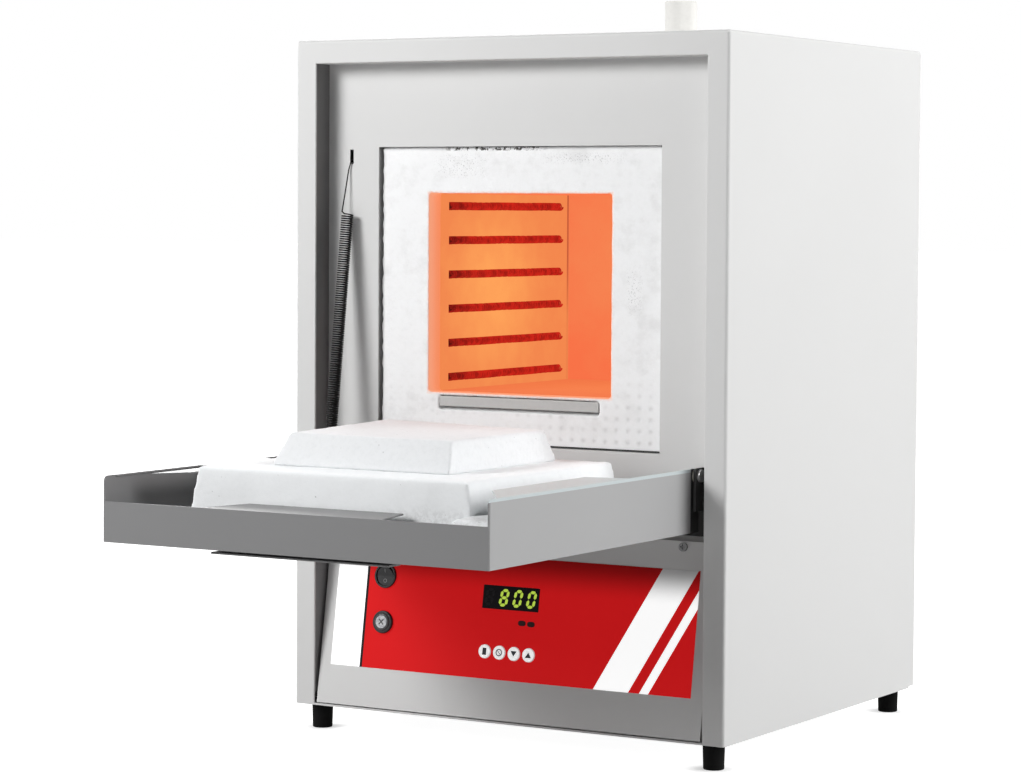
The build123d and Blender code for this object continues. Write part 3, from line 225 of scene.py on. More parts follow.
def splitCoords(tree, coords):
    node = tree.nodes.new("ShaderNodeSeparateXYZ")
    tree.links.new(coords, node.inputs[0])
    return node.outputs


def makePaintSkin():
    # fine orange peel of powder coat, and a slow unevenness of its tone
    group, source, sink = newGroup("paintSkin", [("Peel", 900.0), ("Drift", 6.0)], ["Height", "Tone"])
    coords = objectCoords(group)
    peel = noiseNode(group, coords, source.outputs["Peel"])
    drift = noiseNode(group, coords, source.outputs["Drift"], detail=3)
    group.links.new(peel, sink.inputs["Height"])
    group.links.new(drift, sink.inputs["Tone"])
    return group


# Pressed fibre board: dimples that show in patches, fluff, fine grain and loose crumbs
fibre = {
    "pitchX": 0.0103, "pitchZ": 0.0094, "depth": 0.5, "sharpness": 2.5, "patches": (11.0, (0.42, 0.62)),
    "fluff": (260.0, 6, 0.65), "grain": (1400.0, 2, 0.6), "grainShare": 0.35,
    "crumbs": (420.0, (0.62, 0.74), 3, 0.7),
}


def makeFibreSkin():
    group, source, sink = newGroup(
        "fibreSkin",
        [("Pitch X", fibre["pitchX"]), ("Pitch Z", fibre["pitchZ"]), ("Dimple Depth", fibre["depth"])],
        ["Height", "Crumbs", "Dimple"],
    )
    coords = objectCoords(group)
    axes = splitCoords(group, coords)
    waves = []
    for axis, pitch in ((0, "Pitch X"), (2, "Pitch Z")):
        turns = mathNode(group, "DIVIDE", axes[axis], source.outputs[pitch])
        wave = mathNode(group, "COSINE", multiply(group, turns, 2 * math.pi))
        waves.append(mathNode(group, "MULTIPLY_ADD", wave, 0.5, 0.5))
    dimple = mathNode(group, "POWER", multiply(group, *waves), fibre["sharpness"])
    dimple = multiply(group, dimple, noiseRange(group, coords, *fibre["patches"]))
    fluff = noiseNode(group, coords, *fibre["fluff"])
    grain = noiseNode(group, coords, *fibre["grain"])
    height = mathNode(group, "MULTIPLY_ADD", grain, fibre["grainShare"], fluff)
    height = minus(group, height, multiply(group, dimple, source.outputs["Dimple Depth"]))
    crumbs = noiseRange(group, coords, *fibre["crumbs"])
    for label, value in (("Height", height), ("Crumbs", crumbs), ("Dimple", dimple)):
        group.links.new(value, sink.inputs[label])
    return group


def makeSheetGrain():
    # long faint rolling marks of bare sheet steel, and smudges
    group, source, sink = newGroup("sheetGrain", [("Length", 6.0), ("Fineness", 700.0)], ["Grain", "Smudge"])
    coords = objectCoords(group)
    axes = splitCoords(group, coords)
    join = group.nodes.new("ShaderNodeCombineXYZ")
    for axis, scale in ((0, "Length"), (1, "Fineness"), (2, "Fineness")):
        group.links.new(multiply(group, axes[axis], source.outputs[scale]), join.inputs[axis])
    grain = noiseNode(group, join.outputs[0], 1.0, detail=3, roughness=0.6)
    smudge = noiseNode(group, coords, 14.0, detail=4, roughness=0.6)
    group.links.new(grain, sink.inputs["Grain"])
    group.links.new(smudge, sink.inputs["Smudge"])
    return group


paintSkin = makePaintSkin()
fibreSkin = makeFibreSkin()
sheetGrain = makeSheetGrain()


# Materials

def newMaterial(name, colour, roughness, metallic=0.0, gloss=0.5):
    finish = bpy.data.materials.new(name)
    finish.use_nodes = True
    shader = finish.node_tree.nodes["Principled BSDF"]
    shader.inputs["Base Color"].default_value = (*colour, 1)
    shader.inputs["Roughness"].default_value = roughness
    shader.inputs["Metallic"].default_value = metallic
    shader.inputs["Specular IOR Level"].default_value = gloss
    return finish.node_tree, shader


def useGroup(tree, group, **values):
    node = tree.nodes.new("ShaderNodeGroup")
    node.node_tree = group
    for label, value in values.items():
        node.inputs[label.replace("_", " ")].default_value = value
    return node.outputs


def splitColour(tree, colour):
    parts = tree.nodes.new("ShaderNodeSeparateColor")
    tree.links.new(colour, parts.inputs[0])
    return parts.outputs


def mix(tree, factor, first, second):
    node = tree.nodes.new("ShaderNodeMix")
    node.data_type = "RGBA"
    for slot, value in ((0, factor), (6, first), (7, second)):
        feed(tree, value, node.inputs[slot])
    return node.outputs[2]


def addBump(shader, height, strength, distance):
    tree = shader.id_data
    bump = tree.nodes.new("ShaderNodeBump")
    bump.inputs["Strength"].default_value = strength
    bump.inputs["Distance"].default_value = distance
    tree.links.new(height, bump.inputs["Height"])
    tree.links.new(bump.outputs[0], shader.inputs["Normal"])


def addBase(shader, colour):
    shader.id_data.links.new(colour, shader.inputs["Base Color"])


def addRoughness(shader, value):
    shader.id_data.links.new(value, shader.inputs["Roughness"])


def addGlow(shader, colour):
    shader.id_data.links.new(colour, shader.inputs["Emission Color"])
    shader.inputs["Emission Strength"].default_value = 1.0


def shaded(colour, factor):
    return tuple(part * factor for part in colour)


def seenRays(tree):
    # 1 for rays that show the background: straight from the camera, in a gloss or through glass
    rays = tree.nodes.new("ShaderNodeLightPath").outputs
    return largest(tree, rays["Is Camera Ray"], rays["Is Glossy Ray"], rays["Is Transmission Ray"])


def makeWorld():
    sky = bpy.data.worlds.new("studio")
    bpy.context.scene.world = sky
    sky.use_nodes = True
    nodes, links = sky.node_tree.nodes, sky.node_tree.links
    nodes.clear()
    out = nodes.new("ShaderNodeOutputWorld")
    fill = nodes.new("ShaderNodeBackground")
    fill.inputs["Color"].default_value = world["fill"]
    fill.inputs["Strength"].default_value = world["strength"]
    seen = nodes.new("ShaderNodeBackground")
    seen.inputs["Color"].default_value = (1, 1, 1, 1)
    blend = nodes.new("ShaderNodeMixShader")
    links.new(seenRays(sky.node_tree), blend.inputs[0])
    links.new(fill.outputs[0], blend.inputs[1])
    links.new(seen.outputs[0], blend.inputs[2])
    links.new(blend.outputs[0], out.inputs[0])


def makeFloor():
    bpy.ops.mesh.primitive_plane_add(size=floor["size"], location=(0, 0, 0))
    ground = bpy.context.object
    ground.name = "studioFloor"
    paint = bpy.data.materials.new("studioFloor")
    paint.use_nodes = True
    tree = paint.node_tree
    nodes, links = tree.nodes, tree.links
    nodes.clear()
    out = nodes.new("ShaderNodeOutputMaterial")
    matt = nodes.new("ShaderNodeBsdfDiffuse")
    matt.inputs["Color"].default_value = floor["colour"]
    glow = nodes.new("ShaderNodeEmission")
    add = nodes.new("ShaderNodeAddShader")
    coords = objectCoords(tree)
    away = distanceNode(tree, coords, (0, 0, 0))
    level = ramp(tree, away, floor["near"], floor["far"], floor["glow"], floor["farGlow"])
    for x, y in floor["feet"]:
        gap = distanceNode(tree, coords, (x, y, 0))
        dim = ramp(tree, gap, floor["shadowCore"], floor["shadowRadius"], 1 - floor["shadow"], 1)
        level = multiply(tree, level, dim)
    links.new(multiply(tree, seenRays(tree), level), glow.inputs["Strength"])
    links.new(matt.outputs[0], add.inputs[0])
    links.new(glow.outputs[0], add.inputs[1])
    links.new(add.outputs[0], out.inputs[0])
    ground.data.materials.append(paint)


makeWorld()
makeFloor()
print("world and floor are set")


# Plain finishes; a pair of numbers bounds the part of a noise that is used
black = (0, 0, 0)
midTones = (0.3, 0.7)
coat = {"tones": (0.2, 0.8), "smoother": 0.05, "rougher": 0.06, "bump": 0.0002}
sheet = {
    "darker": 0.93, "lighter": 1.05, "smudged": 0.86, "smudges": (0.45, 0.75, 0.0, 0.35), "tones": (0.3, 0.8),
    "smoother": 0.05, "rougher": 0.08, "grain": 0.05, "bump": 0.0002,
}
wool = {
    "roughness": 0.95, "tones": (0.3, 0.8), "greyer": 0.93, "crumbs": 0.25, "crumbShade": 0.7,
    "softTones": (0.2, 0.8), "sheen": 0.15, "sheenRoughness": 0.6, "bump": 0.0009,
}
plastic = {"peel": 2600.0, "drift": 40.0, "swing": 0.06, "darker": 0.9, "bump": 0.0001}


def powderCoat(name, colour, shade, roughness=0.5, peel=0.16):
    tree, shader = newMaterial(name, colour, roughness)
    skin = useGroup(tree, paintSkin)
    tone = ramp(tree, skin["Tone"], *midTones)
    addBase(shader, mix(tree, tone, shaded(colour, shade), colour))
    limits = (roughness - coat["smoother"], roughness + coat["rougher"])
    addRoughness(shader, ramp(tree, skin["Tone"], *coat["tones"], *limits))
    addBump(shader, skin["Height"], peel, coat["bump"])
    return tree, shader


def bareSheet(name, colour, roughness, metallic):
    tree, shader = newMaterial(name, colour, roughness, metallic)
    marks = useGroup(tree, sheetGrain)
    grain = ramp(tree, marks["Grain"], *midTones)
    base = mix(tree, grain, shaded(colour, sheet["darker"]), shaded(colour, sheet["lighter"]))
    smudge = ramp(tree, marks["Smudge"], *sheet["smudges"])
    addBase(shader, mix(tree, smudge, base, shaded(colour, sheet["smudged"])))
    limits = (roughness - sheet["smoother"], roughness + sheet["rougher"])
    addRoughness(shader, ramp(tree, marks["Smudge"], *sheet["tones"], *limits))
    addBump(shader, marks["Grain"], sheet["grain"], sheet["bump"])


def fibreBoard(name, colour, dimples=0.5, strength=0.35):
    tree, shader = newMaterial(name, colour, wool["roughness"])
    skin = useGroup(tree, fibreSkin, Dimple_Depth=dimples)
    tone = ramp(tree, skin["Height"], *wool["tones"])
    base = mix(tree, tone, shaded(colour, wool["greyer"]), colour)
    crumbs = multiply(tree, skin["Crumbs"], wool["crumbs"])
    addBase(shader, mix(tree, crumbs, base, shaded(colour, wool["crumbShade"])))
    shader.inputs["Sheen Weight"].default_value = wool["sheen"]
    shader.inputs["Sheen Roughness"].default_value = wool["sheenRoughness"]
    addBump(shader, skin["Height"], strength, wool["bump"])


def mouldedPlastic(name, colour, roughness=0.4, texture=0.1, gloss=0.5):
    tree, shader = newMaterial(name, colour, roughness, gloss=gloss)
    skin = useGroup(tree, paintSkin, Peel=plastic["peel"], Drift=plastic["drift"])
    limits = (roughness - plastic["swing"], roughness + plastic["swing"])
    addRoughness(shader, ramp(tree, skin["Tone"], *midTones, *limits))
    tone = ramp(tree, skin["Height"], *midTones)
    addBase(shader, mix(tree, tone, shaded(colour, plastic["darker"]), colour))
    addBump(shader, skin["Height"], texture, plastic["bump"])


# The hot inside of the chamber, in metres of the frame, with a dark seam at its rear left corner
hot = {
    "half": 0.0945, "low": 0.2885, "high": 0.4540, "back": 0.2250, "seam": 0.0029, "seamHalf": 0.0015,
    "seamFade": (0.33, 0.40, 0.15, 0.75), "seamRed": (0.42, 0.06, 0.03), "cold": (0.62, 0.58, 0.52),
    "unlit": (0.06, 0.02, 0.01), "blotches": (45.0, (0.3, 0.7, -0.12, 0.12), 4, 0.6),
    "crumbs": 0.25, "crumbShade": 0.75, "bump": 0.0006,
}


def glowingBoard(name, middle, edge, centre, reach):
    # hot fibre: it shines most around a centre, given in furnace millimetres, and only inside the chamber
    tree, shader = newMaterial(name, hot["cold"], 0.9, gloss=0.2)
    skin = useGroup(tree, fibreSkin, Dimple_Depth=0.0)
    coords = objectCoords(tree)
    axes = splitCoords(tree, coords)
    fade = ramp(tree, distanceNode(tree, coords, spot(*centre)), 0.0, reach / 1000)
    blotch = noiseRange(tree, coords, *hot["blotches"])
    glow = mix(tree, mathNode(tree, "ADD", fade, blotch), middle, edge)
    glow = mix(tree, multiply(tree, skin["Crumbs"], hot["crumbs"]), glow, shaded(edge, hot["crumbShade"]))
    seam = within(tree, axes[1], hot["back"] - hot["seam"], hot["seamHalf"])
    seam = multiply(tree, seam, ramp(tree, axes[2], *hot["seamFade"]))
    glow = mix(tree, seam, glow, hot["seamRed"])
    inside = multiply(
        tree, within(tree, axes[0], 0, hot["half"]),
        mathNode(tree, "GREATER_THAN", axes[2], hot["low"]), mathNode(tree, "LESS_THAN", axes[2], hot["high"]),
        mathNode(tree, "LESS_THAN", axes[1], hot["back"]),
    )
    addBase(shader, mix(tree, inside, hot["cold"], hot["unlit"]))
    addGlow(shader, mix(tree, inside, black, glow))
    addBump(shader, skin["Height"], 0.3, hot["bump"])


opening = {
    "half": 0.184, "top": 0.5615, "front": -0.034, "bend": 0.0003, "fade": (0.0006, 0.002),
    # the dark grey is painted shade on the left folded edge of the opening
    "metal": (0.16, 0.16, 0.16),
}
palePaint = (0.64, 0.64, 0.635)


def makeCasePaint():
    # pale paint outside; the folded edge at the left of the door's opening is painted dark grey, painted shade
    # where light doesn't reach it
    tree, shader = powderCoat("casePaint", palePaint, 0.985)
    axes = splitCoords(tree, objectCoords(tree))
    side = within(tree, axes[0], -opening["half"], opening["bend"])
    top = mathNode(tree, "LESS_THAN", axes[2], opening["top"])
    depth = ramp(tree, axes[1], *[opening["front"] + step for step in opening["fade"]])
    paint = shader.inputs["Base Color"].links[0].from_socket
    # painted shade on the left folded edge, behind the case front
    shadedReturn = multiply(tree, side, top, depth)
    addBase(shader, mix(tree, shadedReturn, paint, opening["metal"]))


def softFibre(name, dull, light):
    # soft fibre that marks are added to
    tree, shader = newMaterial(name, light, wool["roughness"], gloss=0.2)
    skin = useGroup(tree, fibreSkin, Dimple_Depth=0.0)
    coords = objectCoords(tree)
    base = mix(tree, ramp(tree, skin["Height"], *wool["softTones"]), dull, light)
    return tree, shader, skin, coords, splitCoords(tree, coords), base


# The ring round the mouth: dimples low down, darkened as painted shade in their hollows, smudges, specks in the
# scuffs, crumbs on the upper edge and a blush inside the mouth
ring = {
    "mouthHalf": (0.0863, 0.08215), "mouthMiddle": 0.37115, "face": -0.010,
    "dull": (0.90, 0.905, 0.91), "light": (0.96, 0.965, 0.97),
    "dimpleRise": (0.275, 0.315, 1, 0.12), "dimpleSide": (-0.05, 0.08, 0.5, 1), "dent": 0.55,
    "dentDepth": 0.9, "dimpleShade": (0.60, 0.60, 0.60), "smudges": (38.0, (0.50, 0.72, 0.0, 0.6), 5, 0.65),
    "smudged": (0.80, 0.80, 0.80), "specks": (900.0, (0.55, 0.66), 4, 0.7), "speck": 0.75,
    "speckled": (0.35, 0.35, 0.35), "scuffCore": 0.3, "crumbs": (330.0, (0.50, 0.56), 3, 0.7),
    "crumbRise": (0.4880, 0.4897), "crumbsFrom": (-0.078, -0.058), "crumbsTo": (0.010, 0.030, 1, 0),
    "crumb": (0.06, 0.055, 0.05), "ragged": (420.0, 3), "raggedDepth": 0.003,
    "nearMouth": (-0.0006, 0.0010, 1, 0), "behindFace": (-0.0002, 0.0012), "blushDepth": (-0.009, 0.007),
    "blushFront": (0.76, 0.32, 0.19), "blushBack": (0.76, 0.245, 0.11), "warmBase": (0.25, 0.10, 0.05),
    "bump": 0.0010,
}
# scuffed patches of the ring: middle x and z, half width and half height in metres
scuffs = [(-0.055, 0.476, 0.034, 0.013), (0.108, 0.375, 0.010, 0.026), (0.06, 0.482, 0.05, 0.006)]


def makeFibreRing():
    tree, shader, skin, coords, axes, base = softFibre("fibreRing", ring["dull"], ring["light"])
    dimples = multiply(
        tree, skin["Dimple"], ramp(tree, axes[2], *ring["dimpleRise"]),
        ramp(tree, axes[0], *ring["dimpleSide"]),
    )
    smudges = noiseRange(tree, coords, *ring["smudges"])
    base = mix(tree, smudges, base, ring["smudged"])
    # dimple hollows darkened: painted shade
    base = mix(tree, multiply(tree, dimples, ring["dent"]), base, ring["dimpleShade"])
    specks = noiseRange(tree, coords, *ring["specks"])
    for x, z, halfX, halfZ in scuffs:
        patch = [
            ramp(tree, fromMiddle(tree, axes[axis], middle), half * ring["scuffCore"], half, 1, 0)
            for axis, middle, half in ((0, x, halfX), (2, z, halfZ))
        ]
        base = mix(tree, multiply(tree, *patch, specks, ring["speck"]), base, ring["speckled"])
    crumbs = multiply(
        tree, noiseRange(tree, coords, *ring["crumbs"]), ramp(tree, axes[2], *ring["crumbRise"]),
        ramp(tree, axes[0], *ring["crumbsFrom"]), ramp(tree, axes[0], *ring["crumbsTo"]),
    )
    base = mix(tree, crumbs, base, ring["crumb"])
    sides = minus(tree, fromMiddle(tree, axes[0], 0), ring["mouthHalf"][0])
    ends = minus(tree, fromMiddle(tree, axes[2], ring["mouthMiddle"]), ring["mouthHalf"][1])
    ragged = multiply(tree, noiseNode(tree, coords, *ring["ragged"]), ring["raggedDepth"])
    edge = minus(tree, largest(tree, sides, ends), ragged)
    deep = ramp(tree, axes[1], *[ring["face"] + step for step in ring["behindFace"]])
    warm = multiply(tree, ramp(tree, edge, *ring["nearMouth"]), deep)
    blush = mix(tree, ramp(tree, axes[1], *ring["blushDepth"]), ring["blushFront"], ring["blushBack"])
    addBase(shader, mix(tree, warm, base, ring["warmBase"]))
    addGlow(shader, mix(tree, warm, black, blush))
    height = minus(tree, skin["Height"], multiply(tree, dimples, ring["dentDepth"]))
    addBump(shader, height, 0.45, ring["bump"])


# The door's fibre: plain and soft, soiled low down near the tray's right front corner
block = {
    "soilRise": (0.212, 0.227, 1, 0), "soilSide": (0.0, 0.09), "soil": (240.0, (0.42, 0.62), 5, 0.7),
    "soilShare": 0.3, "soiled": (0.36, 0.36, 0.36), "specks": (300.0, (0.735, 0.77)), "speckShare": 0.5,
    "speckled": (0.3, 0.3, 0.3),
}


def makeFibreBlock(name, dull, light):
    tree, shader, skin, coords, axes, base = softFibre(name, dull, light)
    soil = multiply(
        tree, noiseRange(tree, coords, *block["soil"]), ramp(tree, axes[2], *block["soilRise"]),
        ramp(tree, axes[0], *block["soilSide"]), block["soilShare"],
    )
    base = mix(tree, soil, base, block["soiled"])
    specks = noiseRange(tree, coords, *block["specks"])
    base = mix(tree, multiply(tree, specks, block["speckShare"]), base, block["speckled"])
    addBase(shader, base)
    addBump(shader, skin["Height"], 0.35, wool["bump"])


# Grey coat, paler on the right flange and its lip as painted light, near black as painted shade where the
# flange meets the hinge; the front rim keeps the darker grey as painted shade
door = {
    "flange": 0.1690, "lipSide": 0.130, "lipRise": 0.2350, "front": -0.3345, "hinged": -0.0305,
    # the paler greys are painted light on the right flange and its lip; the near black is painted shade at the
    # hinge
    "grey": (0.18, 0.18, 0.182), "flangeLight": (0.35, 0.35, 0.352), "lip": (0.50, 0.555, 0.565),
    "hingeShade": (0.015, 0.015, 0.015),
}


def makeDoorPaint():
    tree, shader = powderCoat("doorPaint", door["grey"], 0.97)
    axes = splitCoords(tree, objectCoords(tree))
    flange, lipSide, lipRise, front, hinged = [
        mathNode(tree, "GREATER_THAN", axes[axis], door[limit])
        for axis, limit in ((0, "flange"), (0, "lipSide"), (2, "lipRise"), (1, "front"), (1, "hinged"))
    ]
    lip = multiply(tree, lipSide, lipRise)
    side = multiply(tree, largest(tree, flange, lip), front)
    tone = shader.inputs["Base Color"].links[0].from_socket
    # painted light: the right flange and its lip paler than the rim
    tone = mix(tree, side, tone, door["flangeLight"])
    tone = mix(tree, lip, tone, door["lip"])
    # painted shade: near black at the flange's hinge end
    tone = mix(tree, multiply(tree, side, hinged), tone, door["hingeShade"])
    addBase(shader, tone)


def makeLedLit():
    # lit segments, a little uneven
    tree, shader = newMaterial("ledLit", (0.10, 0.14, 0.02), 0.4)
    patch = noiseRange(tree, objectCoords(tree), 900.0, midTones)
    addGlow(shader, mix(tree, patch, (0.33, 0.47, 0.03), (0.42, 0.58, 0.05)))


def makeWindowBlack():
    tree, shader = newMaterial("windowBlack", (0.004, 0.002, 0.004), 0.15, gloss=0.08)
    addBump(shader, useGroup(tree, paintSkin, Peel=300.0)["Height"], 0.02, 0.0001)


hotWire = {"unlit": 0.3, "front": (0.022, 0.07, 0.55, 0.0), "patches": (160.0, (0.35, 0.7, 0.0, 0.6), 3)}


def makeHotWire(name, colour, dull):
    # glowing wire, duller and browner towards the front end
    tree, shader = newMaterial(name, shaded(colour, hotWire["unlit"]), 0.7, gloss=0.2)
    coords = objectCoords(tree)
    front = ramp(tree, splitCoords(tree, coords)[1], *hotWire["front"])
    patchy = noiseRange(tree, coords, *hotWire["patches"])
    addGlow(shader, mix(tree, mathNode(tree, "ADD", front, patchy), colour, dull))


# The label: red film, at its left a white strip and a dark line, at its right plain slanted stripes.
# Part of its brightness is painted light: it glows, more where it is white, and less near the top as painted
# shadow under the door.
label = {
    "red": (0.72, 0.0105, 0.0125), "shade": 0.97, "slant": -0.55, "stripes": ((0.052, 0.084), (0.094, 0.102)),
    "stripe": (0.9, 0.9, 0.9), "line": (-0.1396, (0.012, 0.01, 0.01)), "strip": (-0.142, (0.95, 0.95, 0.95)),
    # the colour is darkened by half and painted glow gives the light back, fading upwards as painted shadow
    # under the door
    "film": 0.5, "paintedGlow": (0.126, 0.156, 0.55, 0.04), "pale": (0.3, 0.6, 1.0, 1.7), "peel": 1500.0,
}


def makeLabelPrint():
    tree, shader = newMaterial("labelPrint", label["red"], 0.5, gloss=0.06)
    skin = useGroup(tree, paintSkin, Peel=label["peel"])
    axes = splitCoords(tree, objectCoords(tree))
    tone = ramp(tree, skin["Tone"], *midTones)
    tone = mix(tree, tone, shaded(label["red"], label["shade"]), label["red"])
    slant = mathNode(tree, "MULTIPLY_ADD", axes[2], label["slant"], axes[0])
    for low, high in label["stripes"]:
        after = mathNode(tree, "GREATER_THAN", slant, low)
        before = mathNode(tree, "LESS_THAN", slant, high)
        tone = mix(tree, multiply(tree, after, before), tone, label["stripe"])
    for edge, colour in (label["line"], label["strip"]):
        tone = mix(tree, mathNode(tree, "LESS_THAN", axes[0], edge), tone, colour)
    # colour darkened by half; painted glow adds light back
    addBase(shader, mix(tree, label["film"], tone, black))
    # painted light, fading near the top as painted shadow under the door, stronger on white parts
    paintedGlow = ramp(tree, axes[2], *label["paintedGlow"])
    pale = ramp(tree, splitColour(tree, tone)[1], *label["pale"])
    addGlow(shader, mix(tree, multiply(tree, paintedGlow, pale), black, tone))
    addBump(shader, skin["Height"], 0.05, 0.0001)


# What each maker is given after the finish's name
finishes = [
    # the near black finish is painted shade on the deck, the hinge brackets, their screws and the door's stop
    # studs
    (powderCoat, {"frontPaint": (palePaint, 0.98), "darkSheet": ((0.018, 0.018, 0.018), 0.9, 0.7)}),
    (bareSheet, {
        "innerSteel": ((0.55, 0.55, 0.55), 0.4, 0.8),
        "zincSteel": ((0.62, 0.62, 0.62), 0.32, 0.9),
        "darkZinc": ((0.22, 0.22, 0.22), 0.4, 0.6),
        "brass": ((0.7, 0.6, 0.38), 0.3, 1.0),
    }),
    (mouldedPlastic, {
        "springSteel": ((0.010, 0.010, 0.010), 0.45, 0.2, 0.12),
        "rubberBlack": ((0.004, 0.004, 0.004), 0.8, 0.3, 0.08),
        "plasticBlack": ((0.012, 0.012, 0.013), 0.38, 0.1, 0.25),
        "plasticGrey": ((0.4, 0.4, 0.39), 0.5),
        "plasticCream": ((0.72, 0.70, 0.62), 0.45),
        "boardGreen": ((0.03, 0.16, 0.06), 0.4),
        "ledGreen": ((0.03, 0.10, 0.03), 0.25),
        "lampDark": ((0.03, 0.004, 0.004), 0.3, 0.1, 0.15),
    }),
    (fibreBoard, {
        "fibreWhite": ((0.88, 0.88, 0.87),),
        "tubeWhite": ((0.82, 0.81, 0.78), 0.0, 0.2),
        "sillGrey": ((0.56, 0.56, 0.55), 0.0, 0.2),
    }),
    (makeFibreBlock, {
        "fibrePlain": ((0.84, 0.855, 0.865), (0.885, 0.90, 0.91)),
        "fibrePlug": ((0.73, 0.74, 0.75), (0.80, 0.81, 0.82)),
    }),
    (glowingBoard, {
        "hotSide": ((0.94, 0.36, 0.10), (0.84, 0.24, 0.075), (-86, 130, 350), 105),
        "hotBack": ((0.87, 0.225, 0.083), (0.89, 0.165, 0.063), (-30, 258, 380), 130),
        "hotFloor": ((0.83, 0.20, 0.066), (0.80, 0.175, 0.06), (0, 150, 268), 130),
    }),
    (makeHotWire, {
        "elementRed": ((0.50, 0.016, 0.009), (0.13, 0.005, 0.004)),
        "elementCore": ((0.15, 0.006, 0.003), (0.06, 0.003, 0.003)),
    }),
    (newMaterial, {"ledUnlit": ((0.012, 0.009, 0.012), 0.3, 0.0, 0.1)}),
]
for make, wanted in finishes:
    for name, settings in wanted.items():
        make(name, *settings)
for make in (makeCasePaint, makeFibreRing, makeDoorPaint, makeLedLit, makeWindowBlack, makeLabelPrint):
    make()


# Prints and marks on the controls, placed by x and height along the fascia in millimetres

control = {"peel": 2600.0, "drift": 60.0, "roughness": (0.3, 0.42), "bump": 0.0001}
rocker = {
    "x": -123.4, "height": 110.6, "markRise": 4.2, "barHalf": (0.32, 1.5), "ringRadius": 1.45, "ringHalf": 0.3,
    "worn": (1500.0, (0.3, 0.55, 0.45, 0.9), 3), "mark": (0.22, 0.22, 0.22),
    "dark": (0.007, 0.007, 0.008), "light": (0.012, 0.012, 0.013),
}
lamp = {
    "x": -122.0, "height": 71.9, "lineHalf": 0.7755, "crossRadius": 3.1, "discRadius": 5.3, "crossShare": 0.92,
    "cross": (0.02, 0.02, 0.022), "facets": (520.0, (0.35, 0.65)),
    "dark": (0.40, 0.41, 0.44), "light": (0.62, 0.63, 0.64), "bump": 0.0002,
}
buttons = {
    "firstX": -20.8, "pitch": 13.9, "height": 55.2, "radius": 5.7, "rimHalf": 0.35, "rimShare": 0.55,
    "rim": (0.12, 0.10, 0.10), "page": (1.8, 2.9), "arrow": (3.0, 4.6), "clock": (2.6, 0.55),
    "hand": (1.7, 1.7), "handHalf": 0.5, "grey": (0.13, 0.13, 0.14), "ink": (0.006, 0.008, 0.012),
    "dark": (0.86, 0.86, 0.86), "light": (0.91, 0.91, 0.91), "glow": 0.6,
}


def fasciaCoords(tree):
    # x and height along the slope, in millimetres, from Object coordinates in metres
    axes = splitCoords(tree, objectCoords(tree))
    lean = fascia["lean"]
    base = spot(0, fascia["footY"], fascia["footZ"])
    across = multiply(tree, axes[0], 1000)
    back = multiply(tree, minus(tree, axes[1], base[1]), 1000 * math.sin(lean))
    rise = multiply(tree, minus(tree, axes[2], base[2]), 1000 * math.cos(lean))
    return across, mathNode(tree, "ADD", back, rise)


def ringMask(tree, across, up, centre, radius, half):
    dx = minus(tree, across, centre[0])
    dy = minus(tree, up, centre[1])
    squares = mathNode(tree, "ADD", multiply(tree, dx, dx), multiply(tree, dy, dy))
    return within(tree, mathNode(tree, "SQRT", squares), radius, half)


def blockMask(tree, across, up, centre, halfWidth, halfHeight):
    sides = within(tree, across, centre[0], halfWidth)
    return multiply(tree, sides, within(tree, up, centre[1], halfHeight))


def arrowMask(tree, across, up, centre, halfWidth, height, points):
    # triangle that points up (1) or down (-1)
    away = fromMiddle(tree, across, centre[0])
    rise = multiply(tree, minus(tree, up, centre[1]), points)
    edge = mathNode(tree, "MULTIPLY_ADD", away, height / halfWidth, rise)
    inside = mathNode(tree, "LESS_THAN", edge, height / 2)
    return multiply(tree, inside, mathNode(tree, "GREATER_THAN", rise, -height / 2))


def controlSkin(tree, shader, dark, light, texture):
    # fine moulded skin; gives back its colour
    skin = useGroup(tree, paintSkin, Peel=control["peel"], Drift=control["drift"])
    addRoughness(shader, ramp(tree, skin["Tone"], *midTones, *control["roughness"]))
    addBump(shader, skin["Height"], texture, control["bump"])
    return mix(tree, ramp(tree, skin["Tone"], *midTones), dark, light)


def makeRockerFace():
    # black rocker with its two worn pale marks
    tree, shader = newMaterial("rockerFace", rocker["light"], 0.35, gloss=0.3)
    across, up = fasciaCoords(tree)
    barPlace = (rocker["x"], rocker["height"] + rocker["markRise"])
    circlePlace = (rocker["x"], rocker["height"] - rocker["markRise"])
    bar = blockMask(tree, across, up, barPlace, *rocker["barHalf"])
    circle = ringMask(tree, across, up, circlePlace, rocker["ringRadius"], rocker["ringHalf"])
    worn = noiseRange(tree, objectCoords(tree), *rocker["worn"])
    base = controlSkin(tree, shader, rocker["dark"], rocker["light"], 0.1)
    marks = multiply(tree, largest(tree, bar, circle), worn)
    addBase(shader, mix(tree, marks, base, rocker["mark"]))


def makeLampFace():
    # silvery disc with a dark slanted cross, in a dark rim
    tree, shader = newMaterial("lampFace", lamp["light"], 0.2, gloss=0.3)
    across, up = fasciaCoords(tree)
    centre = (lamp["x"], lamp["height"])
    dx, dy = minus(tree, across, lamp["x"]), minus(tree, up, lamp["height"])
    slants = [mathNode(tree, kind, dx, dy) for kind in ("ADD", "SUBTRACT")]
    lines = largest(tree, *[within(tree, slant, 0, lamp["lineHalf"]) for slant in slants])
    cross = multiply(tree, lines, ringMask(tree, across, up, centre, 0, lamp["crossRadius"]))
    rim = minus(tree, 1, ringMask(tree, across, up, centre, 0, lamp["discRadius"]))
    dark = multiply(tree, largest(tree, cross, rim), lamp["crossShare"])
    facets = noiseRange(tree, objectCoords(tree), *lamp["facets"])
    base = mix(tree, facets, lamp["dark"], lamp["light"])
    addBase(shader, mix(tree, dark, base, lamp["cross"]))
    addBump(shader, facets, 0.15, lamp["bump"])


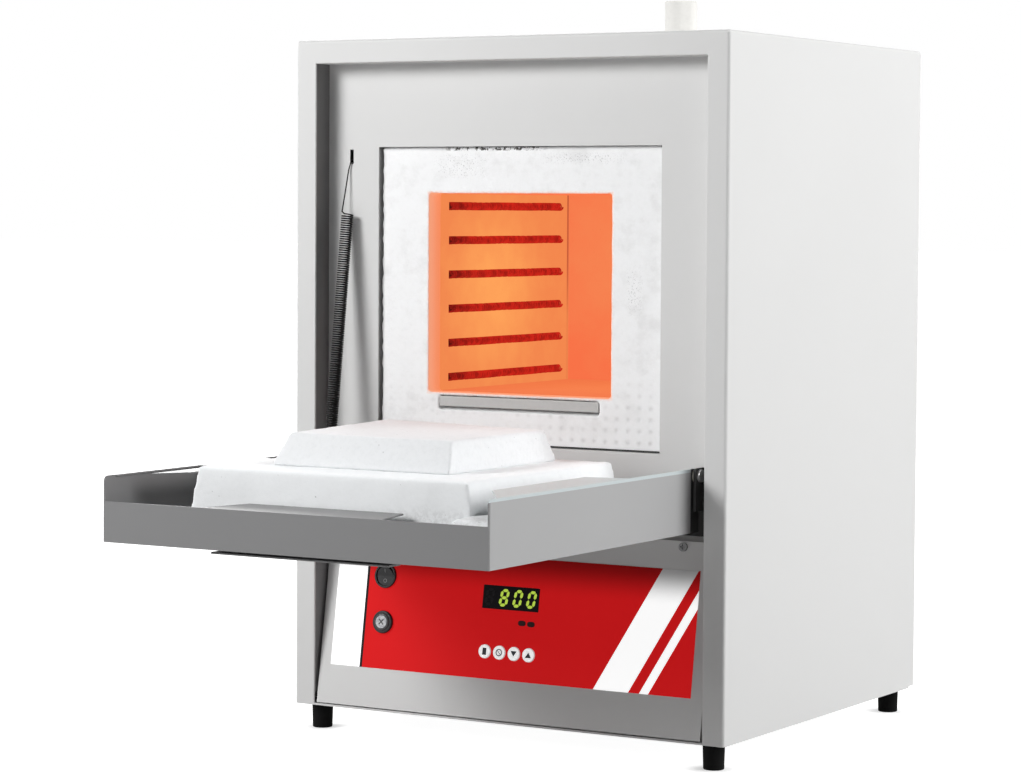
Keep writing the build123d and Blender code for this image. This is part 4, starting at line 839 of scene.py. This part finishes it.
def makeButtonFace():
    # white caps, each with a plain sign: a page, a clock, down and up; the caps glow a little, painted light
    tree, shader = newMaterial("buttonFace", buttons["light"], 0.35, gloss=0.3)
    across, up = fasciaCoords(tree)
    places = [(buttons["firstX"] + i * buttons["pitch"], buttons["height"]) for i in range(4)]
    page, clock, down, upper = places
    dx, dy = minus(tree, across, clock[0]), minus(tree, up, clock[1])
    hand = within(tree, mathNode(tree, "ADD", dx, dy), 0, buttons["handHalf"])
    hand = multiply(tree, hand, blockMask(tree, across, up, clock, *buttons["hand"]))
    grey = largest(tree, ringMask(tree, across, up, clock, *buttons["clock"]), hand)
    ink = largest(
        tree, blockMask(tree, across, up, page, *buttons["page"]),
        arrowMask(tree, across, up, down, *buttons["arrow"], -1),
        arrowMask(tree, across, up, upper, *buttons["arrow"], 1),
    )
    rims = largest(tree, *[
        ringMask(tree, across, up, place, buttons["radius"], buttons["rimHalf"]) for place in places
    ])
    base = controlSkin(tree, shader, buttons["dark"], buttons["light"], 0.08)
    base = mix(tree, multiply(tree, rims, buttons["rimShare"]), base, buttons["rim"])
    base = mix(tree, grey, base, buttons["grey"])
    base = mix(tree, ink, base, buttons["ink"])
    addBase(shader, base)
    # painted light: the caps glow with part of their colour
    addGlow(shader, mix(tree, buttons["glow"], black, base))


for make in (makeRockerFace, makeLampFace, makeButtonFace):
    make()

nodeFinishes = {
    "casePaint": "outer_case base_tray rear_cover",
    "frontPaint": "front_panel fascia_panel",
    "doorPaint": "door_tray door_handle",
    # near black as painted shade on these parts
    "darkSheet": "chamber_deck hinge_brackets bracket_screws door_stop_studs",
    "innerSteel": "chamber_casing chimney_collar thermocouple_probe relay_heatsink",
    "zincSteel": "foot_fasteners rear_screws hinge_pins spring_anchor door_magnet",
    "darkZinc": "fascia_screws",
    "brass": "inlet_pins",
    "springSteel": "door_spring",
    "rubberBlack": "rubber_feet",
    "plasticBlack": "display_module rocker_bezel lamp_bezel mains_inlet solid_state_relay door_sensor "
                    "wiring_looms",
    "plasticGrey": "safety_contactor terminal_block",
    "plasticCream": "hinge_bushes",
    "boardGreen": "controller_board",
    "ledGreen": "output_lamps",
    "fibreWhite": "insulation_front",
    "tubeWhite": "chimney_tube element_bushings",
    "sillGrey": "sill_bar",
    "fibrePlain": "door_insulation_slab door_plug",
    "hotSide": "insulation_left insulation_right",
    "hotBack": "insulation_top insulation_rear",
    "hotFloor": "insulation_bottom hearth_plate",
    "elementCore": "heating_element_left heating_element_right",
    "labelPrint": "fascia_label",
    "windowBlack": "display_window",
    "rockerFace": "rocker_paddle",
    "lampFace": "lamp_lens",
    "buttonFace": "button_page button_timer button_down button_up",
}
for finish, names in nodeFinishes.items():
    for name in names.split():
        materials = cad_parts[name].data.materials
        materials.clear()
        materials.append(bpy.data.materials[finish])
print("materials are on the nodes")


# Modelling helpers

def pick(*pieces):
    bpy.ops.object.select_all(action="DESELECT")
    for piece in pieces:
        piece.select_set(True)
    bpy.context.view_layer.objects.active = pieces[0]


def applyModifiers(piece):
    pick(piece)
    for modifier in list(piece.modifiers):
        bpy.ops.object.modifier_apply(modifier=modifier.name)


def joinPieces(name, pieces):
    pick(*pieces)
    bpy.ops.object.join()
    pieces[0].name = name
    return pieces[0]


def dress(piece, finish, body, slot, *nodes):
    piece.data.materials.clear()
    piece.data.materials.append(bpy.data.materials[finish])
    if body:
        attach(piece, body)
    if nodes:
        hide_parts(*nodes)


def bendWire(name, points, radius, sides=1):
    curve = bpy.data.curves.new(name, "CURVE")
    curve.dimensions = "3D"
    curve.bevel_depth = radius
    curve.bevel_resolution = sides
    curve.use_fill_caps = True
    line = curve.splines.new("POLY")
    line.points.add(len(points) - 1)
    for point, place in zip(line.points, points):
        point.co = (*place, 1)
    pick(addObject(name, curve))
    bpy.ops.object.convert(target="MESH")
    wire = bpy.context.object
    bpy.ops.object.shade_smooth()
    return wire


def cutPlate(name, outline, thickness, lift):
    # flat plate from an outline in millimetres, lift above the fascia's face
    mesh = bpy.data.meshes.new(name)
    mesh.from_pydata([(x, up, lift) for x, up in outline], [], [list(range(len(outline)))])
    plate = addObject(name, mesh)
    pick(plate)
    bpy.ops.object.mode_set(mode="EDIT")
    bpy.ops.mesh.select_all(action="SELECT")
    bpy.ops.mesh.extrude_region_move(TRANSFORM_OT_translate={"value": (0, 0, thickness)})
    bpy.ops.mesh.select_all(action="SELECT")
    bpy.ops.mesh.normals_make_consistent(inside=False)
    bpy.ops.object.mode_set(mode="OBJECT")
    plate.data.transform(fasciaMatrix())
    return plate


def roundedBar(width, height, steps=6):
    # outline of a bar with round ends, lying along x
    radius = height / 2
    points = []
    for side, start in ((1, -90), (-1, 90)):
        for i in range(steps + 1):
            angle = math.radians(start + 180 * i / steps)
            points.append((side * (width / 2 - radius) + radius * math.cos(angle), radius * math.sin(angle)))
    return points


# Balance spring: close turns, a loop round the anchor and a leg up to the slot

spring = {
    "x": -161.0, "anchor": (-17.0, 179.0), "slot": (19.2, 459.0), "coilBottom": 196.0, "coilTop": 414.5,
    "radius": 4.6, "wire": 0.62, "turns": 115, "stepsPerTurn": 16,
    "loopRadius": 3.0, "loopFrom": -70, "loopSweep": 250, "loopSteps": 17,
    # height and radii ahead where the loop ends and the coil starts, there also metres across
    "loopEnd": (187.0, 0.7), "coilStart": (193.0, 0.9, 0.0006),
    # height, and coil radii ahead and across, of the points where the last turn becomes the leg
    "leg": ((416.7, 0.5, 0.9), (419.5, 0.2, 1.02), (452.0, 0, 0.45), (455.5, 0, 0.25)),
    # the hook, back and up from the slot
    "hook": ((-0.8, -0.4), (1.6, 0.4), (3.6, -0.8), (4.0, -3.5)),
}


def makeSpring():
    anchorY, anchorZ = spring["anchor"]
    slotY, slotZ = spring["slot"]
    foot = spot(spring["x"], anchorY, anchorZ)
    axis = (spot(spring["x"], slotY, slotZ) - foot).normalized()
    across = Vector((1, 0, 0))
    ahead = axis.cross(across).normalized()

    def along(height):
        return foot + axis * ((height - anchorZ) / 1000 / axis.z)

    radius = spring["radius"] / 1000
    loop = spring["loopRadius"] / 1000
    points = []
    for i in range(spring["loopSteps"] + 1):
        angle = math.radians(spring["loopFrom"] + spring["loopSweep"] * i / spring["loopSteps"])
        points.append(foot + ahead * loop * math.cos(angle) - axis * loop * math.sin(angle))
    height, forward = spring["loopEnd"]
    points.append(along(height) - ahead * loop * forward)
    height, forward, aside = spring["coilStart"]
    points.append(along(height) - ahead * radius * forward + across * aside)
    steps = spring["turns"] * spring["stepsPerTurn"]
    low, high = along(spring["coilBottom"]), along(spring["coilTop"])
    for i in range(steps + 1):
        angle = 2 * math.pi * i / spring["stepsPerTurn"] + math.pi
        outward = ahead * math.cos(angle) + across * math.sin(angle)
        points.append(low.lerp(high, i / steps) + outward * radius)
    for height, forward, sideways in spring["leg"]:
        points.append(along(height) - ahead * radius * forward - across * radius * sideways)
    for back, rise in spring["hook"]:
        points.append(spot(spring["x"], slotY + back, slotZ + rise))
    wire = bendWire("balanceSpring", points, spring["wire"] / 1000)
    dress(wire, "springSteel", None, "spring_steel", "door_spring")
    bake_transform(wire)


makeSpring()
print("spring is wound")


# Heating coils: fine wire wound round each rod of the elements

coils = {
    "x": 88.15, "front": 57.0, "back": 245.0, "rows": 6, "lowest": 278.3, "pitch": 28.74,
    "radius": 2.95, "wire": 0.74, "turnPitch": 2.9, "stepsPerTurn": 12, "sag": 0.2, "sagRuns": 2.6,
}


def makeCoils():
    turns = int((coils["back"] - coils["front"]) / coils["turnPitch"])
    steps = turns * coils["stepsPerTurn"]
    length = coils["back"] - coils["front"]
    points = []
    for i in range(steps + 1):
        angle = 2 * math.pi * i / coils["stepsPerTurn"]
        sag = coils["sag"] * math.sin(2 * math.pi * coils["sagRuns"] * i / steps)
        points.append(spot(
            coils["radius"] * math.cos(angle), coils["front"] + length * i / steps,
            coils["lowest"] + sag + coils["radius"] * math.sin(angle),
        ))
    first = bendWire("elementCoils", points, coils["wire"] / 1000, sides=0)
    for side, name in ((-1, "elementCoilsLeft"), (1, "elementCoilsRight")):
        rows = []
        for row in range(coils["rows"]):
            wire = addObject(name, first.data.copy())
            wire.data.transform(Matrix.Translation((side * coils["x"] / 1000, 0, row * coils["pitch"] / 1000)))
            rows.append(wire)
        dress(joinPieces(name, rows), "elementRed", "case", "element_wire")
    bpy.data.objects.remove(first)


makeCoils()
print("heating coils are wound")


# Fibre pieces: pressed board with soft, slightly uneven edges

fibrePieces = {
    # node, body, voxel, unevenness, finish
    "mouthRing": ("insulation_front", "case", 0.0014, 0.0006, "fibreRing"),
    "doorSlab": ("door_insulation_slab", "door", 0.0020, 0.0008, "fibrePlain"),
    "doorPlug": ("door_plug", "door", 0.0018, 0.0008, "fibrePlug"),
}
pressing = {"merge": 0.00001, "smoothing": 0.5, "rounds": 3, "lumps": 0.014, "lumpDepth": 3}
pressedOut = {
    "ringTop": 0.0016, "ringLow": 0.0026, "ringSide": 0.0013, "ringEdge": 0.1,
    "bulges": 160, "bulgeMiddle": 0.5, "bulgeSwing": 1.4,
    "plugSink": 0.0015, "plugRise": 0.0015, "plugBackRise": 0.0035, "plugLeft": 0.005, "plugEdge": 0.2,
    "slabLeft": 0.007, "slabEdge": 0.15, "slabFoot": 0.35,
}


def nearEnd(share, edge):
    return max(0.0, 1 - share / edge)


def pressOut(name, vertices, low, high):
    # hand-pressed fibre isn't square: the ring fills its opening, and the door's blocks lean a little
    out = pressedOut
    for vertex in vertices:
        x, y, z = ((vertex.co[i] - low[i]) / (high[i] - low[i]) for i in range(3))
        if name == "mouthRing":
            vertex.co.z += out["ringTop"] * nearEnd(1 - z, out["ringEdge"])
            vertex.co.z -= out["ringLow"] * nearEnd(z, out["ringEdge"])
            vertex.co.x += out["ringSide"] * nearEnd(1 - x, out["ringEdge"])
            bulge = out["bulgeMiddle"] + out["bulgeSwing"] * noise.noise(vertex.co * out["bulges"])
            vertex.co.x -= out["ringSide"] * nearEnd(x, out["ringEdge"]) * min(1.0, max(0.0, bulge))
        elif name == "doorPlug":
            vertex.co.z -= out["plugSink"] * nearEnd(z, out["plugEdge"])
            vertex.co.z += z * (out["plugRise"] + out["plugBackRise"] * y * (1 - x))
            vertex.co.x -= out["plugLeft"] * nearEnd(x, out["plugEdge"]) * max(0.0, 1 - z)
        else:
            lean = out["slabFoot"] + (1 - out["slabFoot"]) * z
            vertex.co.x -= out["slabLeft"] * nearEnd(x, out["slabEdge"]) * lean


def addRemesh(piece, voxel):
    remesh = piece.modifiers.new("fibre", "REMESH")
    remesh.mode = "VOXEL"
    remesh.voxel_size = voxel


def addLumps(piece, scale, depth, strength):
    lumps = bpy.data.textures.new(piece.name, "CLOUDS")
    lumps.noise_scale = scale
    lumps.noise_depth = depth
    push = piece.modifiers.new("uneven", "DISPLACE")
    push.texture = lumps
    push.strength = strength
    push.mid_level = 1.0


def makeFibrePiece(name, node, body, voxel, uneven, finish):
    piece = addObject(name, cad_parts[node].data.copy())
    pick(piece)
    bpy.ops.object.mode_set(mode="EDIT")
    bpy.ops.mesh.select_all(action="SELECT")
    bpy.ops.mesh.remove_doubles(threshold=pressing["merge"])
    bpy.ops.mesh.normals_make_consistent(inside=False)
    bpy.ops.object.mode_set(mode="OBJECT")
    addRemesh(piece, voxel)
    smooth = piece.modifiers.new("softEdges", "SMOOTH")
    smooth.factor = pressing["smoothing"]
    smooth.iterations = pressing["rounds"]
    addLumps(piece, pressing["lumps"], pressing["lumpDepth"], uneven)
    applyModifiers(piece)
    pressOut(name, piece.data.vertices, *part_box(node))
    bpy.ops.object.shade_smooth()
    dress(piece, finish, body, "insulation", node)


for pieceName, settings in fibrePieces.items():
    makeFibrePiece(pieceName, *settings)


# Fibre packing that fills the tray between the slab and its right side

packing = {
    "low": (0.122, -0.318, 0.1885), "high": (0.1685, -0.052, 0.2205), "round": 0.007, "roundSteps": 3,
    "voxel": 0.0025, "lumps": 0.018, "lumpDepth": 2, "uneven": 0.002,
}


def makePacking():
    size = [high - low for low, high in zip(packing["low"], packing["high"])]
    middle = [(high + low) / 2 for low, high in zip(packing["low"], packing["high"])]
    bpy.ops.object.select_all(action="DESELECT")
    bpy.ops.mesh.primitive_cube_add(size=1, location=middle, scale=size)
    strip = bpy.context.object
    strip.name = "trayPacking"
    bpy.ops.object.transform_apply(location=True, rotation=True, scale=True)
    bevel = strip.modifiers.new("soft", "BEVEL")
    bevel.width = packing["round"]
    bevel.segments = packing["roundSteps"]
    addRemesh(strip, packing["voxel"])
    addLumps(strip, packing["lumps"], packing["lumpDepth"], packing["uneven"])
    applyModifiers(strip)
    bpy.ops.object.shade_smooth()
    dress(strip, "fibrePlain", "door", "insulation")


makePacking()
print("fibre pieces are shaped")


# Display: seven-segment digits behind a dark window, and two small bar lamps under it

display = {
    "x": -0.3, "height": 100.1, "face": 0.5, "lift": 0.02, "digitWidth": 8.2, "digitHeight": 14.4,
    "stroke": 2.45, "slant": 0.16, "gap": 0.35, "middles": (-20.2, -6.4, 6.6, 19.6), "thickness": 0.05,
}
segments = {
    "top": ((0, 1), (1, 1)), "upperRight": ((1, 1), (1, 0)), "lowerRight": ((1, 0), (1, -1)),
    "bottom": ((0, -1), (1, -1)), "lowerLeft": ((0, 0), (0, -1)), "upperLeft": ((0, 1), (0, 0)),
    "middle": ((0, 0), (1, 0)),
}
zeroSegments = [name for name in segments if name != "middle"]
barLamps = {"places": ((12.0, 80.5), (20.6, 80.2)), "width": 7.2, "height": 4.4, "proud": 0.35, "face": 0.3}


def segmentOutline(middle, ends):
    # six-sided stroke between two corners of a leaning digit
    half = display["stroke"] / 2
    corners = []
    for across, up in ends:
        x = (across - 0.5) * (display["digitWidth"] - display["stroke"])
        y = up * (display["digitHeight"] - display["stroke"]) / 2
        corners.append(Vector((x, y)))
    run = (corners[1] - corners[0]).normalized()
    side = Vector((-run.y, run.x)) * half
    first, last = corners[0] + run * display["gap"], corners[1] - run * display["gap"]
    near, far = first + run * half, last - run * half
    outline = [first, near + side, far + side, last, far - side, near - side]
    return [(middle + p.x + p.y * display["slant"] + display["x"], p.y + display["height"]) for p in outline]


def makeDigits(middles, names):
    plates = []
    for middle in middles:
        for name in names:
            outline = segmentOutline(middle, segments[name])
            plates.append(cutPlate("segment", outline, display["thickness"], display["face"] + display["lift"]))
    return plates


def makeBarLamps():
    plates = []
    for x, up in barLamps["places"]:
        outline = [(x + px, up + py) for px, py in roundedBar(barLamps["width"], barLamps["height"])]
        plates.append(cutPlate("lampBar", outline, barLamps["proud"], barLamps["face"]))
    return plates


ghost, *shown = display["middles"]
litPlates = makeDigits(shown[:1], segments) + makeDigits(shown[1:], zeroSegments)
dress(joinPieces("litDigits", litPlates), "ledLit", "case", "green_led")
dress(joinPieces("unlitDigit", makeDigits([ghost], segments)), "ledUnlit", "case", "display_window")
dress(joinPieces("barLamps", makeBarLamps()), "lampDark", "case", "green_led", "output_lamps")
print("display and lamps are set")
